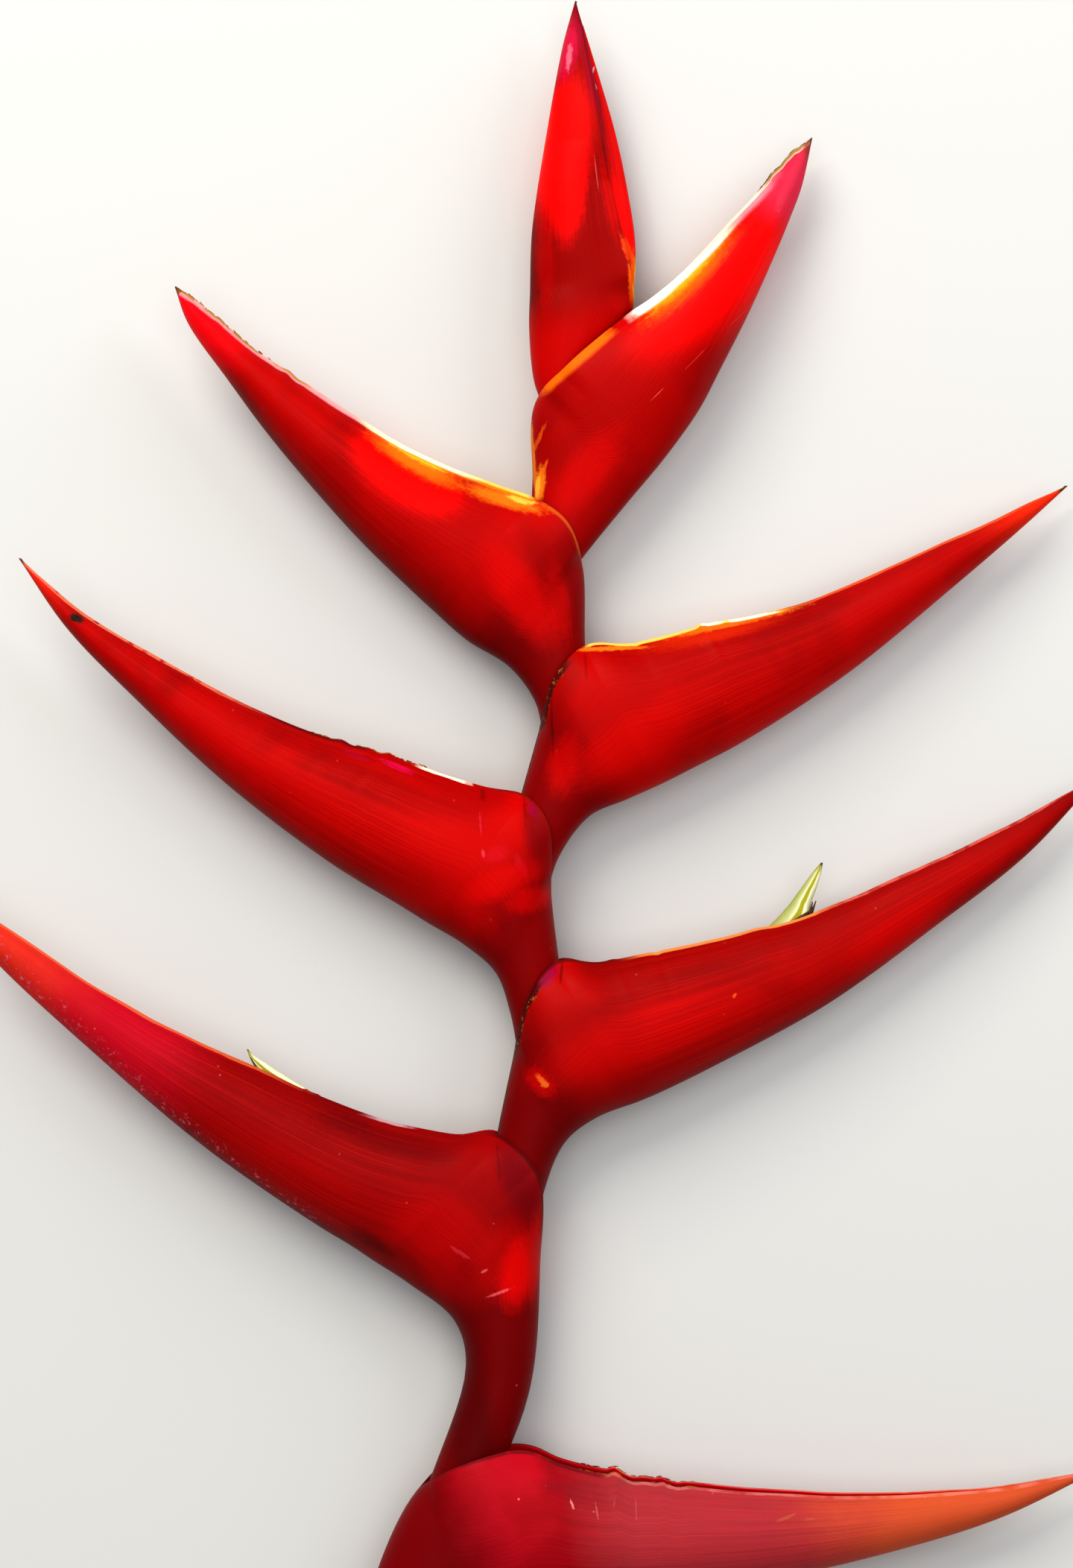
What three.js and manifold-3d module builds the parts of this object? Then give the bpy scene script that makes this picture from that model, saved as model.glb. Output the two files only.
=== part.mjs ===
// A cut heliconia lying on its side: a zigzag stem in eight red boat-shaped bracts, a rolled bud
// at the top, and clusters of pale florets in the open bracts. The flower's flat side view is
// the XY plane, with the cut end at -Y and the top bract at +Y, and Z is the height over the
// surface that it lies on. Millimetres.

import * as THREE from 'three';
import Module from 'manifold-3d';
import { mergeVertices } from 'three/addons/utils/BufferGeometryUtils.js';

const wasm = await Module();
wasm.setup();

// Driving dimensions
const WALL = 0.85;
const CLEARANCE = 0.36;
const MIDDLE = 11;
const STEM_END = -259.77;
const MARGIN_SLIT = 0.3;
const BRACT_POINTS_ACROSS = 13;
const STEM_SIDES = 12;
const FLORET_SIDES = 5;

// Colours as they look in daylight
const BRACT_RED = 0xc40d0a;
const YOUNG_RED = 0xe01008;
const STEM_RED = 0x8f1a12;
const FLORET_CREAM = 0xd9de9a;

// The stem's middle line, from the growing tip inside the top bract to the cut end. Each row is
// x, y, height of the middle over the surface, and radius. The stem is thickest where a bract
// leaves it.
const STEM_ROWS = [
  [13, 193, MIDDLE, 2],
  [10.9, 173.3, MIDDLE, 3.8],
  [10.1, 153, MIDDLE, 3.6],
  [8.3, 139.5, MIDDLE, 4],
  [7.7, 129.9, MIDDLE, 3.7],
  [11.4, 102, MIDDLE, 4],
  [8.3, 89.4, MIDDLE, 3.7],
  [1.6, 67.8, MIDDLE, 4],
  [2.9, 53.9, MIDDLE, 3.7],
  [6.4, 32.3, MIDDLE, 4.1],
  [3.4, 16.8, MIDDLE, 3.8],
  [-1.8, -10.7, MIDDLE, 4.4],
  [-2, -26, MIDDLE, 4.2],
  [-6.4, -45.6, MIDDLE, 4.5],
  [-13.7, -63.5, MIDDLE, 5],
  [-21.4, -77.5, MIDDLE, 5],
  [-26, -95, MIDDLE, 5.2],
  [-28.5, -125, MIDDLE, 5.8],
  [-29, -150, 10.6, 6.2],
  [-28, -205, 8, 6.4],
  [-26, STEM_END, 6.4, 6.4],
];

// The bracts from the top down. side is -1 where the keel is on the left and 1 on the right.
// base and notch are the heights along the stem where the sheath ends and where it closes
// round the sheath of the bract above. clasp is the half thickness of what the margins close
// over, width the blade's half width, and lean how far the tip bends up off the middle. neck
// holds the keel's two places on the sheath. Each rib is a place on the keel and the place
// opposite on the margin (x, y, x, y): the shoulder that the margin climbs over, the corner
// where the lip starts, and on out along the blade.
const BRACTS = [
  {
    name: 'bract_1', side: -1, base: 173.3, notch: 194.5, clasp: 5, width: 8.2, lean: 1,
    neck: [[4.2, 178.7], [3.2, 189.9]],
    ribs: [
      [3.4, 197.9, 25, 200.8], [3.5, 204.3, 23.4, 207.5], [3.8, 210.4, 22.4, 211.2],
      [4.8, 218.4, 20.8, 218.4], [7.2, 233.1, 18.1, 233.9], [8.8, 242.2, 16.8, 242.2],
      [10.7, 251.5, 14.9, 252.3],
    ],
    tip: [13.1, 260],
  },
  {
    name: 'bract_2', side: 1, base: 139.5, notch: 173.3, clasp: 7.6, width: 10.5, lean: -3,
    neck: [[17.6, 144.2], [25.6, 153.9]],
    ribs: [
      [32.5, 162.2, 12, 181.8], [39.7, 172.3, 25.3, 192.8], [44, 180.5, 30.4, 196.3],
      [50.1, 192.5, 36.8, 201.9], [56, 205.6, 46.4, 212.2], [59.2, 213.3, 53.1, 219.5],
      [61.9, 220.6, 59.5, 226.9],
    ],
    tip: [64.2, 231],
  },
  {
    name: 'bract_3', side: -1, base: 102, notch: 139.5, clasp: 6.2, width: 11.5, lean: 5,
    neck: [[4.6, 109.4], [-0.8, 116.9]],
    ribs: [
      [-10.2, 122.9, 11.5, 147.7], [-17.6, 129.4, 4, 153], [-23.2, 134.6, -4, 155.7],
      [-34.2, 145.4, -20.8, 162.6], [-51.7, 165.6, -43.2, 176.5], [-61.6, 178.9, -56.8, 185.6],
      [-69.8, 190.6, -67.4, 194.6],
    ],
    tip: [-72.5, 198.2],
  },
  {
    name: 'bract_4', side: 1, base: 67.8, notch: 102, clasp: 6.2, width: 11.5, lean: -4,
    neck: [[9.6, 76.3], [16.2, 85.1]],
    ribs: [
      [24, 88.6, 8.5, 114.6], [31.2, 91.8, 15.5, 121.4], [37.6, 95, 24.8, 121.8],
      [50.1, 101.6, 38.1, 125], [72, 116, 62.4, 130.7], [95.2, 135, 88, 141.6],
      [109.4, 147.2, 105.9, 149.9],
    ],
    tip: [119.4, 156.3],
  },
  {
    name: 'bract_5', side: -1, base: 32.3, notch: 67.8, clasp: 6.4, width: 12, lean: 5,
    neck: [[-1, 43.5], [-4, 51.5]],
    ribs: [
      [-10.9, 57.6, 7.2, 83.8], [-18.4, 62.1, 2.1, 89.4], [-24.8, 66.1, -7.2, 91.4],
      [-38.9, 74.7, -23.2, 96.8], [-61.1, 91.5, -49.6, 105.1], [-81, 110.1, -75.2, 118.2],
      [-95.7, 125.3, -92.5, 128.6],
    ],
    tip: [-105.9, 140.3],
  },
  {
    name: 'bract_6', side: 1, base: -10.7, notch: 32.3, clasp: 6.6, width: 12, lean: -4,
    neck: [[6.2, 3.7], [10.9, 15]],
    ribs: [
      [17.6, 20.3, 2.6, 45.6], [27.2, 24, 9.3, 53.8], [32.3, 26.2, 18.4, 53.8],
      [42.9, 31.4, 33.6, 56.5], [67.2, 44.6, 59.2, 62.4], [91.5, 62.1, 84.8, 72.8],
      [110.4, 76.8, 105.9, 82.6],
    ],
    tip: [126.4, 93.9],
  },
  {
    name: 'bract_7', side: -1, base: -63.5, notch: -10.7, clasp: 7, width: 12, lean: 4,
    neck: [[-10.4, -33], [-12.9, -23.1]],
    ribs: [
      [-22.4, -15.4, 5.1, 8.6], [-30.4, -10.2, -3.7, 16.8], [-35.2, -7, -13.6, 17.1],
      [-42.4, -2.6, -30.4, 20.8], [-66.1, 13.9, -56, 31.5], [-89, 33.4, -81.6, 43.7],
      [-113.3, 56.3, -108.8, 61],
    ],
    tip: [-126.4, 73.1],
  },
  {
    name: 'bract_8', side: 1, base: -125, notch: -63.5, clasp: 7.4, width: 12, lean: -3,
    neck: [[-15.7, -98.9], [-9.3, -89.1]],
    ribs: [
      [-1.3, -85.6, -10.4, -52.8], [9.1, -84.8, 2.1, -50.7], [16, -84.3, 10.4, -53.8],
      [26.6, -83, 25.9, -57.1], [53.9, -79.2, 52, -60], [82.1, -72.8, 79.7, -61.1],
      [104.8, -65.8, 104.8, -59.4],
    ],
    tip: [126.1, -55.7],
  },
];

// How the blade narrows from its corner out to its tip, rib by rib: shares of the half width,
// and half the opening between the lips
const BLADE_WIDTH = [1, 1, 0.92, 0.7, 0.48, 0.27];
const BLADE_OPENING = [4.4, 4.2, 3.6, 2.8, 1.8, 0.8];
const RIB_STEPS = [2, 2, 5, 3, 1, 2, 3, 2, 2, 2];
const NOTCH_KNOT = 2;
const CORNER_KNOT = 4;

// The rolled bud above the stem, held between the margins of the top bract
const BUD = {
  front: [[19.5, 198.5], [25.2, 203], [25.9, 209], [24.5, 218.7], [21.8, 231.5], [18.1, 244.3]],
  back: [[15, 198.5], [10.5, 204], [9, 211], [9.6, 220.5], [11, 232], [12.6, 244]],
  halfWidth: [2.4, 3.9, 3.7, 3.2, 2.3, 1.2],
  tip: [14.8, 255],
};
const BUD_STEPS = 10;
const BUD_SIDES = 12;

// The two florets that stand out past the lips: the greatest radius, and points of the middle
// line from the axil to the tip, x, y and height off the flower's middle
const SHOWN_FLORETS = {
  florets_6: {
    fatness: 1.9,
    points: [[22, 36, 0], [38, 44, -0.5], [50, 53, 0], [57.8, 60.5, 0], [62.1, 67.3, 0.2],
      [66.2, 75.2, 0.5]],
  },
  florets_7: {
    fatness: 1.5,
    points: [[-14, 2, 0], [-27, 10.5, 0.5], [-38, 20.8, 0], [-45.4, 26.1, 0],
      [-52.3, 29.4, -0.3], [-57.3, 35, -0.5]],
  },
};
const FLORET_FATNESS = 2.1;
const FLORET_STEPS = 8;
const HIDDEN_FLORETS = [
  { reach: 0.78, height: 0.66, across: 0.5 },
  { reach: 0.6, height: 0.5, across: -0.5 },
  { reach: 0.42, height: 0.8, across: -0.15 },
];

// The curve through points given as [x, y]
function outline(points) {
  return new THREE.CatmullRomCurve3(points.map(([x, y]) => new THREE.Vector3(x, y, 0)));
}

const stemLine = new THREE.CatmullRomCurve3(
  STEM_ROWS.map(([x, y, z]) => new THREE.Vector3(x, y, z)),
);

// The stem at a given y: its middle, its radius and the direction to its right
function stemAt(y) {
  let low = 0;
  let high = 1;
  while (high - low > 1e-6) {
    const share = (low + high) / 2;
    if (stemLine.getPoint(share).y > y) low = share;
    else high = share;
  }
  const tangent = stemLine.getTangent(low);
  return {
    middle: stemLine.getPoint(low),
    radius: stemRadiusAt(low),
    right: new THREE.Vector3(-tangent.y, tangent.x, 0).normalize(),
  };
}

function stemRadiusAt(share) {
  const place = share * (STEM_ROWS.length - 1);
  const row = Math.min(Math.floor(place), STEM_ROWS.length - 2);
  return THREE.MathUtils.lerp(STEM_ROWS[row][3], STEM_ROWS[row + 1][3], place - row);
}

// A closed mesh from its corners and triangles, turned so that its faces point out
function closedGeometry(points, faces) {
  const volume = faces.reduce((sum, [a, b, c]) => {
    const turned = new THREE.Vector3().crossVectors(points[b], points[c]);
    return sum + points[a].dot(turned);
  }, 0);
  const ordered = volume > 0 ? faces : faces.map(([a, b, c]) => [a, c, b]);
  const geometry = new THREE.BufferGeometry().setFromPoints(points);
  geometry.setIndex(ordered.flat());
  geometry.computeVertexNormals();
  return geometry;
}

// A solid skinned over rings of equal length, closed by one point at either end: the middle of
// the end ring, or a tip beyond it
function solidOverRings(rings, tip) {
  const sides = rings[0].length;
  const points = rings.flat();
  const faces = [];
  const middleOf = (ring) => ring
    .reduce((sum, point) => sum.add(point), new THREE.Vector3())
    .divideScalar(sides);
  for (let side = 0; side < sides; side += 1) {
    const next = (side + 1) % sides;
    for (let first = 0; first < points.length - sides; first += sides) {
      const second = first + sides;
      faces.push([first + side, first + next, second + next]);
      faces.push([first + side, second + next, second + side]);
    }
    const last = points.length - sides;
    faces.push([points.length, next, side]);
    faces.push([points.length + 1, last + side, last + next]);
  }
  points.push(middleOf(rings[0]), tip ?? middleOf(rings[rings.length - 1]));
  return closedGeometry(points, faces);
}

// Rings square to a curve that lies nearly flat, of the radius that radiusAt gives
function ringsAlong(curve, steps, sides, radiusAt) {
  const up = new THREE.Vector3(0, 0, 1);
  return Array.from({ length: steps + 1 }, (_, step) => {
    const share = step / steps;
    const middle = curve.getPoint(share);
    const across = new THREE.Vector3().crossVectors(curve.getTangent(share), up).normalize();
    return Array.from({ length: sides }, (__, side) => {
      const angle = (side / sides) * 2 * Math.PI;
      return middle.clone()
        .addScaledVector(across, radiusAt(share) * Math.cos(angle))
        .addScaledVector(up, radiusAt(share) * Math.sin(angle));
    });
  });
}

// A bract's knots: matching places on keel and margin, with the section's sizes at each
function bractKnots(bract) {
  const beside = (place, distance) => {
    const point = place.middle.clone().addScaledVector(place.right, distance);
    return [point.x, point.y];
  };
  const base = stemAt(bract.base);
  const neck = stemAt((bract.base + bract.notch) / 2);
  const notch = stemAt(bract.notch);
  const fit = CLEARANCE + WALL;
  const baseRadius = base.radius + fit;
  const neckRadius = Math.max(base.radius, notch.radius) + 2 * fit;
  const holdsBud = bract === BRACTS[0];
  const sheathKnots = [
    {
      keel: beside(base, bract.side * baseRadius),
      margin: beside(base, -bract.side * baseRadius),
      width: baseRadius,
    },
    {
      keel: bract.neck[0],
      margin: beside(neck, -bract.side * neckRadius),
      width: neckRadius,
    },
    {
      keel: bract.neck[1],
      margin: holdsBud ? [25.6, bract.notch] : beside(notch, -bract.side * neckRadius),
      width: neckRadius + 1.6,
    },
  ].map((knot) => ({ ...knot, opening: MARGIN_SLIT, closed: 1, sharpness: 1 }));
  sheathKnots[NOTCH_KNOT].sharpness = 0.9;
  const ribSizes = [
    {
      width: Math.max(bract.clasp + fit + 0.5, 0.95 * bract.width),
      opening: bract.clasp + CLEARANCE,
      closed: 0.4,
      sharpness: 1.05,
    },
    ...BLADE_WIDTH.map((share, rib) => ({
      width: share * bract.width,
      opening: BLADE_OPENING[rib],
      closed: 0,
      sharpness: rib ? 1.25 : 1.1,
    })),
  ];
  const ribKnots = bract.ribs.map((rib, index) => ({
    keel: rib.slice(0, 2),
    margin: rib.slice(2),
    ...ribSizes[index],
  }));
  const tipSizes = { width: 0, opening: 0, closed: 0, sharpness: 1.25 };
  return [...sheathKnots, ...ribKnots, { keel: bract.tip, margin: bract.tip, ...tipSizes }];
}

// A value carried smoothly through the knots, as the outlines are
function throughKnots(values, share) {
  const curve = new THREE.CatmullRomCurve3(
    values.map((value, index) => new THREE.Vector3(index, value, 0)),
  );
  return curve.getPoint(share).y;
}

// One side of a section: a row of places from the keel to the margin, each with its share of
// the way across and its distance from the middle plane
function cheekRow(width, opening, sharpness, count) {
  const last = Math.PI - Math.asin((opening / width) ** (1 / sharpness));
  return Array.from({ length: count }, (_, index) => {
    const angle = (last * index) / (count - 1);
    return {
      share: (1 - Math.cos(angle)) / (1 - Math.cos(last)),
      rise: width * Math.max(Math.sin(angle), 0) ** sharpness,
    };
  });
}

// A section's points from the upper margin round the keel to the lower margin
function sectionRow(keel, margin, row, middle, lowest) {
  const place = ({ share, rise }, upward) => {
    const point = keel.clone().lerp(margin, share);
    point.z = Math.max(middle + upward * rise, lowest);
    return point;
  };
  const upper = row.map((spot) => place(spot, 1)).reverse();
  const lower = row.slice(1).map((spot) => place(spot, -1));
  return [...upper, ...lower];
}

// Half the opening that a margin needs at a place to clear the sheath above
function clearOfSheath(margin) {
  const place = stemAt(margin.y);
  const off = Math.abs(place.right.dot(margin.clone().sub(place.middle).setZ(0)));
  const reach = place.radius + 2 * (CLEARANCE + WALL) + 0.9;
  return off < reach ? Math.sqrt(reach ** 2 - off ** 2) + CLEARANCE : MARGIN_SLIT;
}

// A bract's shell: a folded blade whose margins close round the stem as a sheath
function bractGeometry(bract) {
  const knots = bractKnots(bract);
  const count = (BRACT_POINTS_ACROSS + 1) / 2;
  const keelLine = outline(knots.map((knot) => knot.keel));
  const marginLine = outline(knots.map((knot) => knot.margin));
  const widths = knots.map((knot) => knot.width);
  const openings = knots.map((knot) => knot.opening);
  const closings = knots.map((knot) => knot.closed);
  const sharpnesses = knots.map((knot) => knot.sharpness);
  const shares = RIB_STEPS.flatMap((steps, segment) => (
    Array.from({ length: steps }, (_, step) => (segment + step / steps) / RIB_STEPS.length)
  ));
  const cornerShare = CORNER_KNOT / RIB_STEPS.length;
  const sections = shares.map((share) => {
    const keel = keelLine.getPoint(share);
    const margin = marginLine.getPoint(share);
    const width = Math.max(throughKnots(widths, share), 0.8);
    const wall = Math.min(WALL, 0.42 * width);
    const closed = THREE.MathUtils.clamp(throughKnots(closings, share), 0, 1);
    const sharpness = throughKnots(sharpnesses, share);
    const parted = share > NOTCH_KNOT / RIB_STEPS.length ? clearOfSheath(margin) : MARGIN_SLIT;
    const opening = Math.min(Math.max(throughKnots(openings, share), parted), width - wall - 0.1);
    const inward = margin.clone().sub(keel).normalize();
    const outBlade = Math.max((share - cornerShare) / (1 - cornerShare), 0);
    const middle = MIDDLE + bract.lean * outBlade ** 2;
    const outer = cheekRow(width, opening + (1 - closed) * wall, sharpness, count);
    const inner = cheekRow(width - wall, opening, sharpness, count);
    const innerKeel = keel.clone().addScaledVector(inward, (1.5 - 0.5 * closed) * wall);
    const innerMargin = margin.clone().addScaledVector(inward, -closed * wall);
    return {
      outer: sectionRow(keel, margin, outer, middle, 0),
      inner: sectionRow(innerKeel, innerMargin, inner, middle, 0.8 * WALL),
    };
  });
  return shellGeometry(sections, new THREE.Vector3(...bract.tip, MIDDLE + bract.lean));
}

// A shell between outer and inner rows, drawn to one point at the tip, with both faces split
// into triangles alike
function shellGeometry(sections, tip) {
  const across = sections[0].outer.length;
  const points = sections.flatMap(({ outer, inner }) => [...outer, ...inner]);
  points.push(tip);
  const tipIndex = points.length - 1;
  const outerAt = (section, index) => section * 2 * across + index;
  const innerAt = (section, index) => outerAt(section, index) + across;
  const faces = [];
  const addQuad = (a, b, c, d) => faces.push([a, b, c], [a, c, d]);
  for (let index = 0; index < across - 1; index += 1) {
    for (let section = 0; section < sections.length - 1; section += 1) {
      const next = section + 1;
      addQuad(outerAt(section, index), outerAt(section, index + 1),
        outerAt(next, index + 1), outerAt(next, index));
      faces.push(
        [innerAt(section, index), innerAt(next, index + 1), innerAt(section, index + 1)],
        [innerAt(section, index), innerAt(next, index), innerAt(next, index + 1)],
      );
    }
    const end = sections.length - 1;
    faces.push([outerAt(end, index), outerAt(end, index + 1), tipIndex]);
    faces.push([innerAt(end, index + 1), innerAt(end, index), tipIndex]);
    addQuad(outerAt(0, index + 1), outerAt(0, index), innerAt(0, index), innerAt(0, index + 1));
  }
  for (let section = 0; section < sections.length - 1; section += 1) {
    const next = section + 1;
    addQuad(outerAt(section, 0), outerAt(next, 0), innerAt(next, 0), innerAt(section, 0));
    const far = across - 1;
    addQuad(outerAt(next, far), outerAt(section, far), innerAt(section, far), innerAt(next, far));
  }
  const end = sections.length - 1;
  faces.push([outerAt(end, 0), tipIndex, innerAt(end, 0)]);
  faces.push([tipIndex, outerAt(end, across - 1), innerAt(end, across - 1)]);
  return closedGeometry(points, faces);
}

// The rolled bud: a solid spindle, its front edge the young keel
function budGeometry() {
  const frontLine = outline([...BUD.front, BUD.tip]);
  const backLine = outline([...BUD.back, BUD.tip]);
  const rings = Array.from({ length: BUD_STEPS }, (_, step) => {
    const share = step / BUD_STEPS;
    const halfWidth = throughKnots([...BUD.halfWidth, 0], share);
    return Array.from({ length: BUD_SIDES }, (__, side) => {
      const angle = (side / BUD_SIDES) * 2 * Math.PI;
      const front = frontLine.getPoint(share);
      const point = front.lerp(backLine.getPoint(share), (1 - Math.cos(angle)) / 2);
      point.z = MIDDLE + halfWidth * Math.sin(angle);
      return point;
    });
  });
  return solidOverRings(rings, new THREE.Vector3(...BUD.tip, MIDDLE));
}

function toManifold(geometry) {
  const bare = geometry.clone();
  bare.deleteAttribute('normal');
  const merged = mergeVertices(bare);
  return new wasm.Manifold(new wasm.Mesh({
    numProp: 3,
    vertProperties: new Float32Array(merged.attributes.position.array),
    triVerts: new Uint32Array(merged.index.array),
  }));
}

function toGeometry(solid) {
  const mesh = solid.getMesh();
  const geometry = new THREE.BufferGeometry();
  geometry.setAttribute('position', new THREE.BufferAttribute(mesh.vertProperties, 3));
  geometry.setIndex(new THREE.BufferAttribute(mesh.triVerts, 1));
  geometry.computeVertexNormals();
  return geometry;
}

// A floret: a slender curved horn, thin at its foot and pointed at its tip
function floretGeometry({ fatness, points }) {
  const radiusAt = (share) => fatness * (0.45 + 0.55 * Math.sin(Math.PI * share ** 0.7))
    * Math.min(1, 5 * (1 - share) + 0.1);
  const curve = new THREE.CatmullRomCurve3(points);
  return solidOverRings(ringsAlong(curve, FLORET_STEPS, FLORET_SIDES, radiusAt));
}

// A cluster of florets on the short lump that they share in the bract's axil
function clusterGeometry(bract, name) {
  const knots = bractKnots(bract);
  const keelLine = outline(knots.map((knot) => knot.keel));
  const marginLine = outline(knots.map((knot) => knot.margin));
  const inBlade = (reach, height, across) => {
    const share = (CORNER_KNOT + 3.4 * reach) / RIB_STEPS.length;
    const point = keelLine.getPoint(share).lerp(marginLine.getPoint(share), height);
    point.z = MIDDLE + across * 0.55 * bract.width;
    return point;
  };
  const foot = inBlade(0.02, 0.42, 0);
  const florets = HIDDEN_FLORETS.map(({ reach, height, across }) => ({
    fatness: FLORET_FATNESS,
    points: [
      foot.clone(),
      inBlade(0.4 * reach, 0.45, 0.7 * across),
      inBlade(0.75 * reach, 0.6 * height + 0.15, across),
      inBlade(reach, height, across),
    ],
  }));
  const shown = SHOWN_FLORETS[name];
  if (shown) {
    const points = shown.points.map(([x, y, z]) => new THREE.Vector3(x, y, MIDDLE + z));
    florets.push({ fatness: shown.fatness, points });
  }
  const lump = new THREE.SphereGeometry(3.2, 10, 6);
  lump.translate(foot.x, foot.y, foot.z);
  lump.deleteAttribute('uv');
  return toGeometry(florets.reduce(
    (solid, floret) => solid.add(toManifold(floretGeometry(floret))),
    toManifold(lump),
  ));
}

function namedMesh(name, geometry, color, roughness) {
  const material = new THREE.MeshStandardMaterial({ color, roughness, metalness: 0 });
  const mesh = new THREE.Mesh(geometry, material);
  mesh.name = name;
  return mesh;
}

const heliconia = new THREE.Group();

const stemRings = ringsAlong(stemLine, 3 * (STEM_ROWS.length - 1), STEM_SIDES, stemRadiusAt);
heliconia.add(namedMesh('stem', solidOverRings(stemRings), STEM_RED, 0.5));
heliconia.add(namedMesh('bud_bract', budGeometry(), YOUNG_RED, 0.35));

BRACTS.forEach((bract, index) => {
  const colour = index < 3 ? YOUNG_RED : BRACT_RED;
  const node = new THREE.Group();
  node.add(namedMesh(bract.name, bractGeometry(bract), colour, 0.35));
  if (index > 0) {
    const name = bract.name.replace('bract', 'florets');
    node.add(namedMesh(name, clusterGeometry(bract, name), FLORET_CREAM, 0.5));
  }
  heliconia.add(node);
});

export default heliconia;
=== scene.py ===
import math

import bpy
import numpy as np
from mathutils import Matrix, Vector, noise


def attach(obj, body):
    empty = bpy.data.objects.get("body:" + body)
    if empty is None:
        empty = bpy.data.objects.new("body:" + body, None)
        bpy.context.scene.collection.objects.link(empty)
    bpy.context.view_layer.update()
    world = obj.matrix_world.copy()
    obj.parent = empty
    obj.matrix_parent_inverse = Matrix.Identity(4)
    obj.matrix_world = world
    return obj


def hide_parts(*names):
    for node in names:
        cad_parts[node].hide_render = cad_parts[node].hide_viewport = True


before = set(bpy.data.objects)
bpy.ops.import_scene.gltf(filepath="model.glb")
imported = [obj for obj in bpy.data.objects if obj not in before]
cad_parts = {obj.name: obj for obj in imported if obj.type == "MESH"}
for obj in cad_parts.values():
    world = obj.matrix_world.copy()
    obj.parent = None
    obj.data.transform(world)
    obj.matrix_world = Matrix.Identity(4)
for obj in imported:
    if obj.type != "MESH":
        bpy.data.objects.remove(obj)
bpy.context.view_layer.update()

# The view and the light. The flower lies flat and is seen from straight above, as a photograph
# of it shows it from the side. The frame is 1440 by 2104 pixels of 0.16 mm in the flower's
# middle plane, and pixel column 690 runs through x = 0. Lengths are in millimetres throughout.
MM = 0.001
MM_PER_PX = 0.16
FRAME_PX = (1440, 2104)
ZERO_PX = (690, 1627)
CAMERA_DISTANCE = 1000
MIDDLE = 11

view_x = (FRAME_PX[0] / 2 - ZERO_PX[0]) * MM_PER_PX
view_y = (ZERO_PX[1] - FRAME_PX[1] / 2) * MM_PER_PX
lens = bpy.data.cameras.new("overhead_camera")
lens.sensor_fit = "VERTICAL"
lens.sensor_height = 24
lens.lens = lens.sensor_height * CAMERA_DISTANCE / (FRAME_PX[1] * MM_PER_PX)
lens.clip_start, lens.clip_end = 0.05, 10
camera = bpy.data.objects.new("overhead_camera", lens)
camera.location = Vector((view_x, view_y, CAMERA_DISTANCE + MIDDLE)) * MM
bpy.context.scene.collection.objects.link(camera)
bpy.context.scene.camera = camera
bpy.context.scene.view_settings.view_transform = "Standard"
bpy.context.scene.view_settings.look = "Medium High Contrast"

# Each light: place, what it points at, side of the square, power in watts, and its sRGB colour
LIGHTS = {
    "window_light": ((-420, 900, 800), (0, 80, 0), 700, 12, "FFF6EA"),
    "side_light": ((800, 650, 550), (0, 80, 0), 700, 4.5, "FFFFFF"),
    "overhead_light": ((0, 150, 1300), (0, 60, 0), 1200, 6.5, "FFFFFF"),
}


def linear(colour):
    """An sRGB hex colour as the linear colour that a shader or a light takes."""
    parts = [int(colour[place:place + 2], 16) / 255 for place in (0, 2, 4)]
    return tuple(part / 12.92 if part <= 0.04045 else ((part + 0.055) / 1.055) ** 2.4
                 for part in parts) + (1.0,)


for light_name, (place, target, side, power, colour) in LIGHTS.items():
    lamp = bpy.data.lights.new(light_name, "AREA")
    lamp.size = side * MM
    lamp.energy = power
    lamp.color = linear(colour)[:3]
    light = bpy.data.objects.new(light_name, lamp)
    light.location = Vector(place) * MM
    toward = Vector(target) - Vector(place)
    light.rotation_euler = toward.to_track_quat("-Z", "Y").to_euler()
    bpy.context.scene.collection.objects.link(light)

sky = bpy.data.worlds.new("studio")
sky.use_nodes = True
sky.node_tree.nodes["Background"].inputs["Color"].default_value = linear("FBFBF6")
sky.node_tree.nodes["Background"].inputs["Strength"].default_value = 0.3
bpy.context.scene.world = sky

# The floor: a plain pale board, painted matt, that the flower lies on. It isn't part of the
# flower. Its paint has a faint mottling, about this many spots across the board.
FLOOR_SIDE, BOARD_SPOTS = 4000, 3


def add(owner, kind, inputs=(), **settings):
    """A node with its settings. Each input, by its name or its place, takes a value, a socket
    or what another node gives. Returns the node."""
    tree = getattr(owner, "node_tree", owner)
    node = tree.nodes.new(kind if "Node" in kind else "ShaderNode" + kind)
    for name, value in settings.items():
        setattr(node, name, value)
    for key, value in inputs.items() if isinstance(inputs, dict) else enumerate(inputs):
        if isinstance(value, bpy.types.Node):
            value = next(socket for socket in value.outputs if socket.enabled)
        if isinstance(value, bpy.types.NodeSocket):
            tree.links.new(value, node.inputs[key])
        else:
            node.inputs[key].default_value = value
    return node


def bare_material(name):
    """A new material with nothing in it but its output."""
    material = bpy.data.materials.new(name)
    material.use_nodes = True
    for node in list(material.node_tree.nodes):
        if node.type != "OUTPUT_MATERIAL":
            material.node_tree.nodes.remove(node)
    return material


def finish_material(material, shader):
    """Joins the shader to the material's output."""
    surface = material.node_tree.nodes["Material Output"].inputs["Surface"]
    material.node_tree.links.new(shader.outputs[0], surface)


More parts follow.
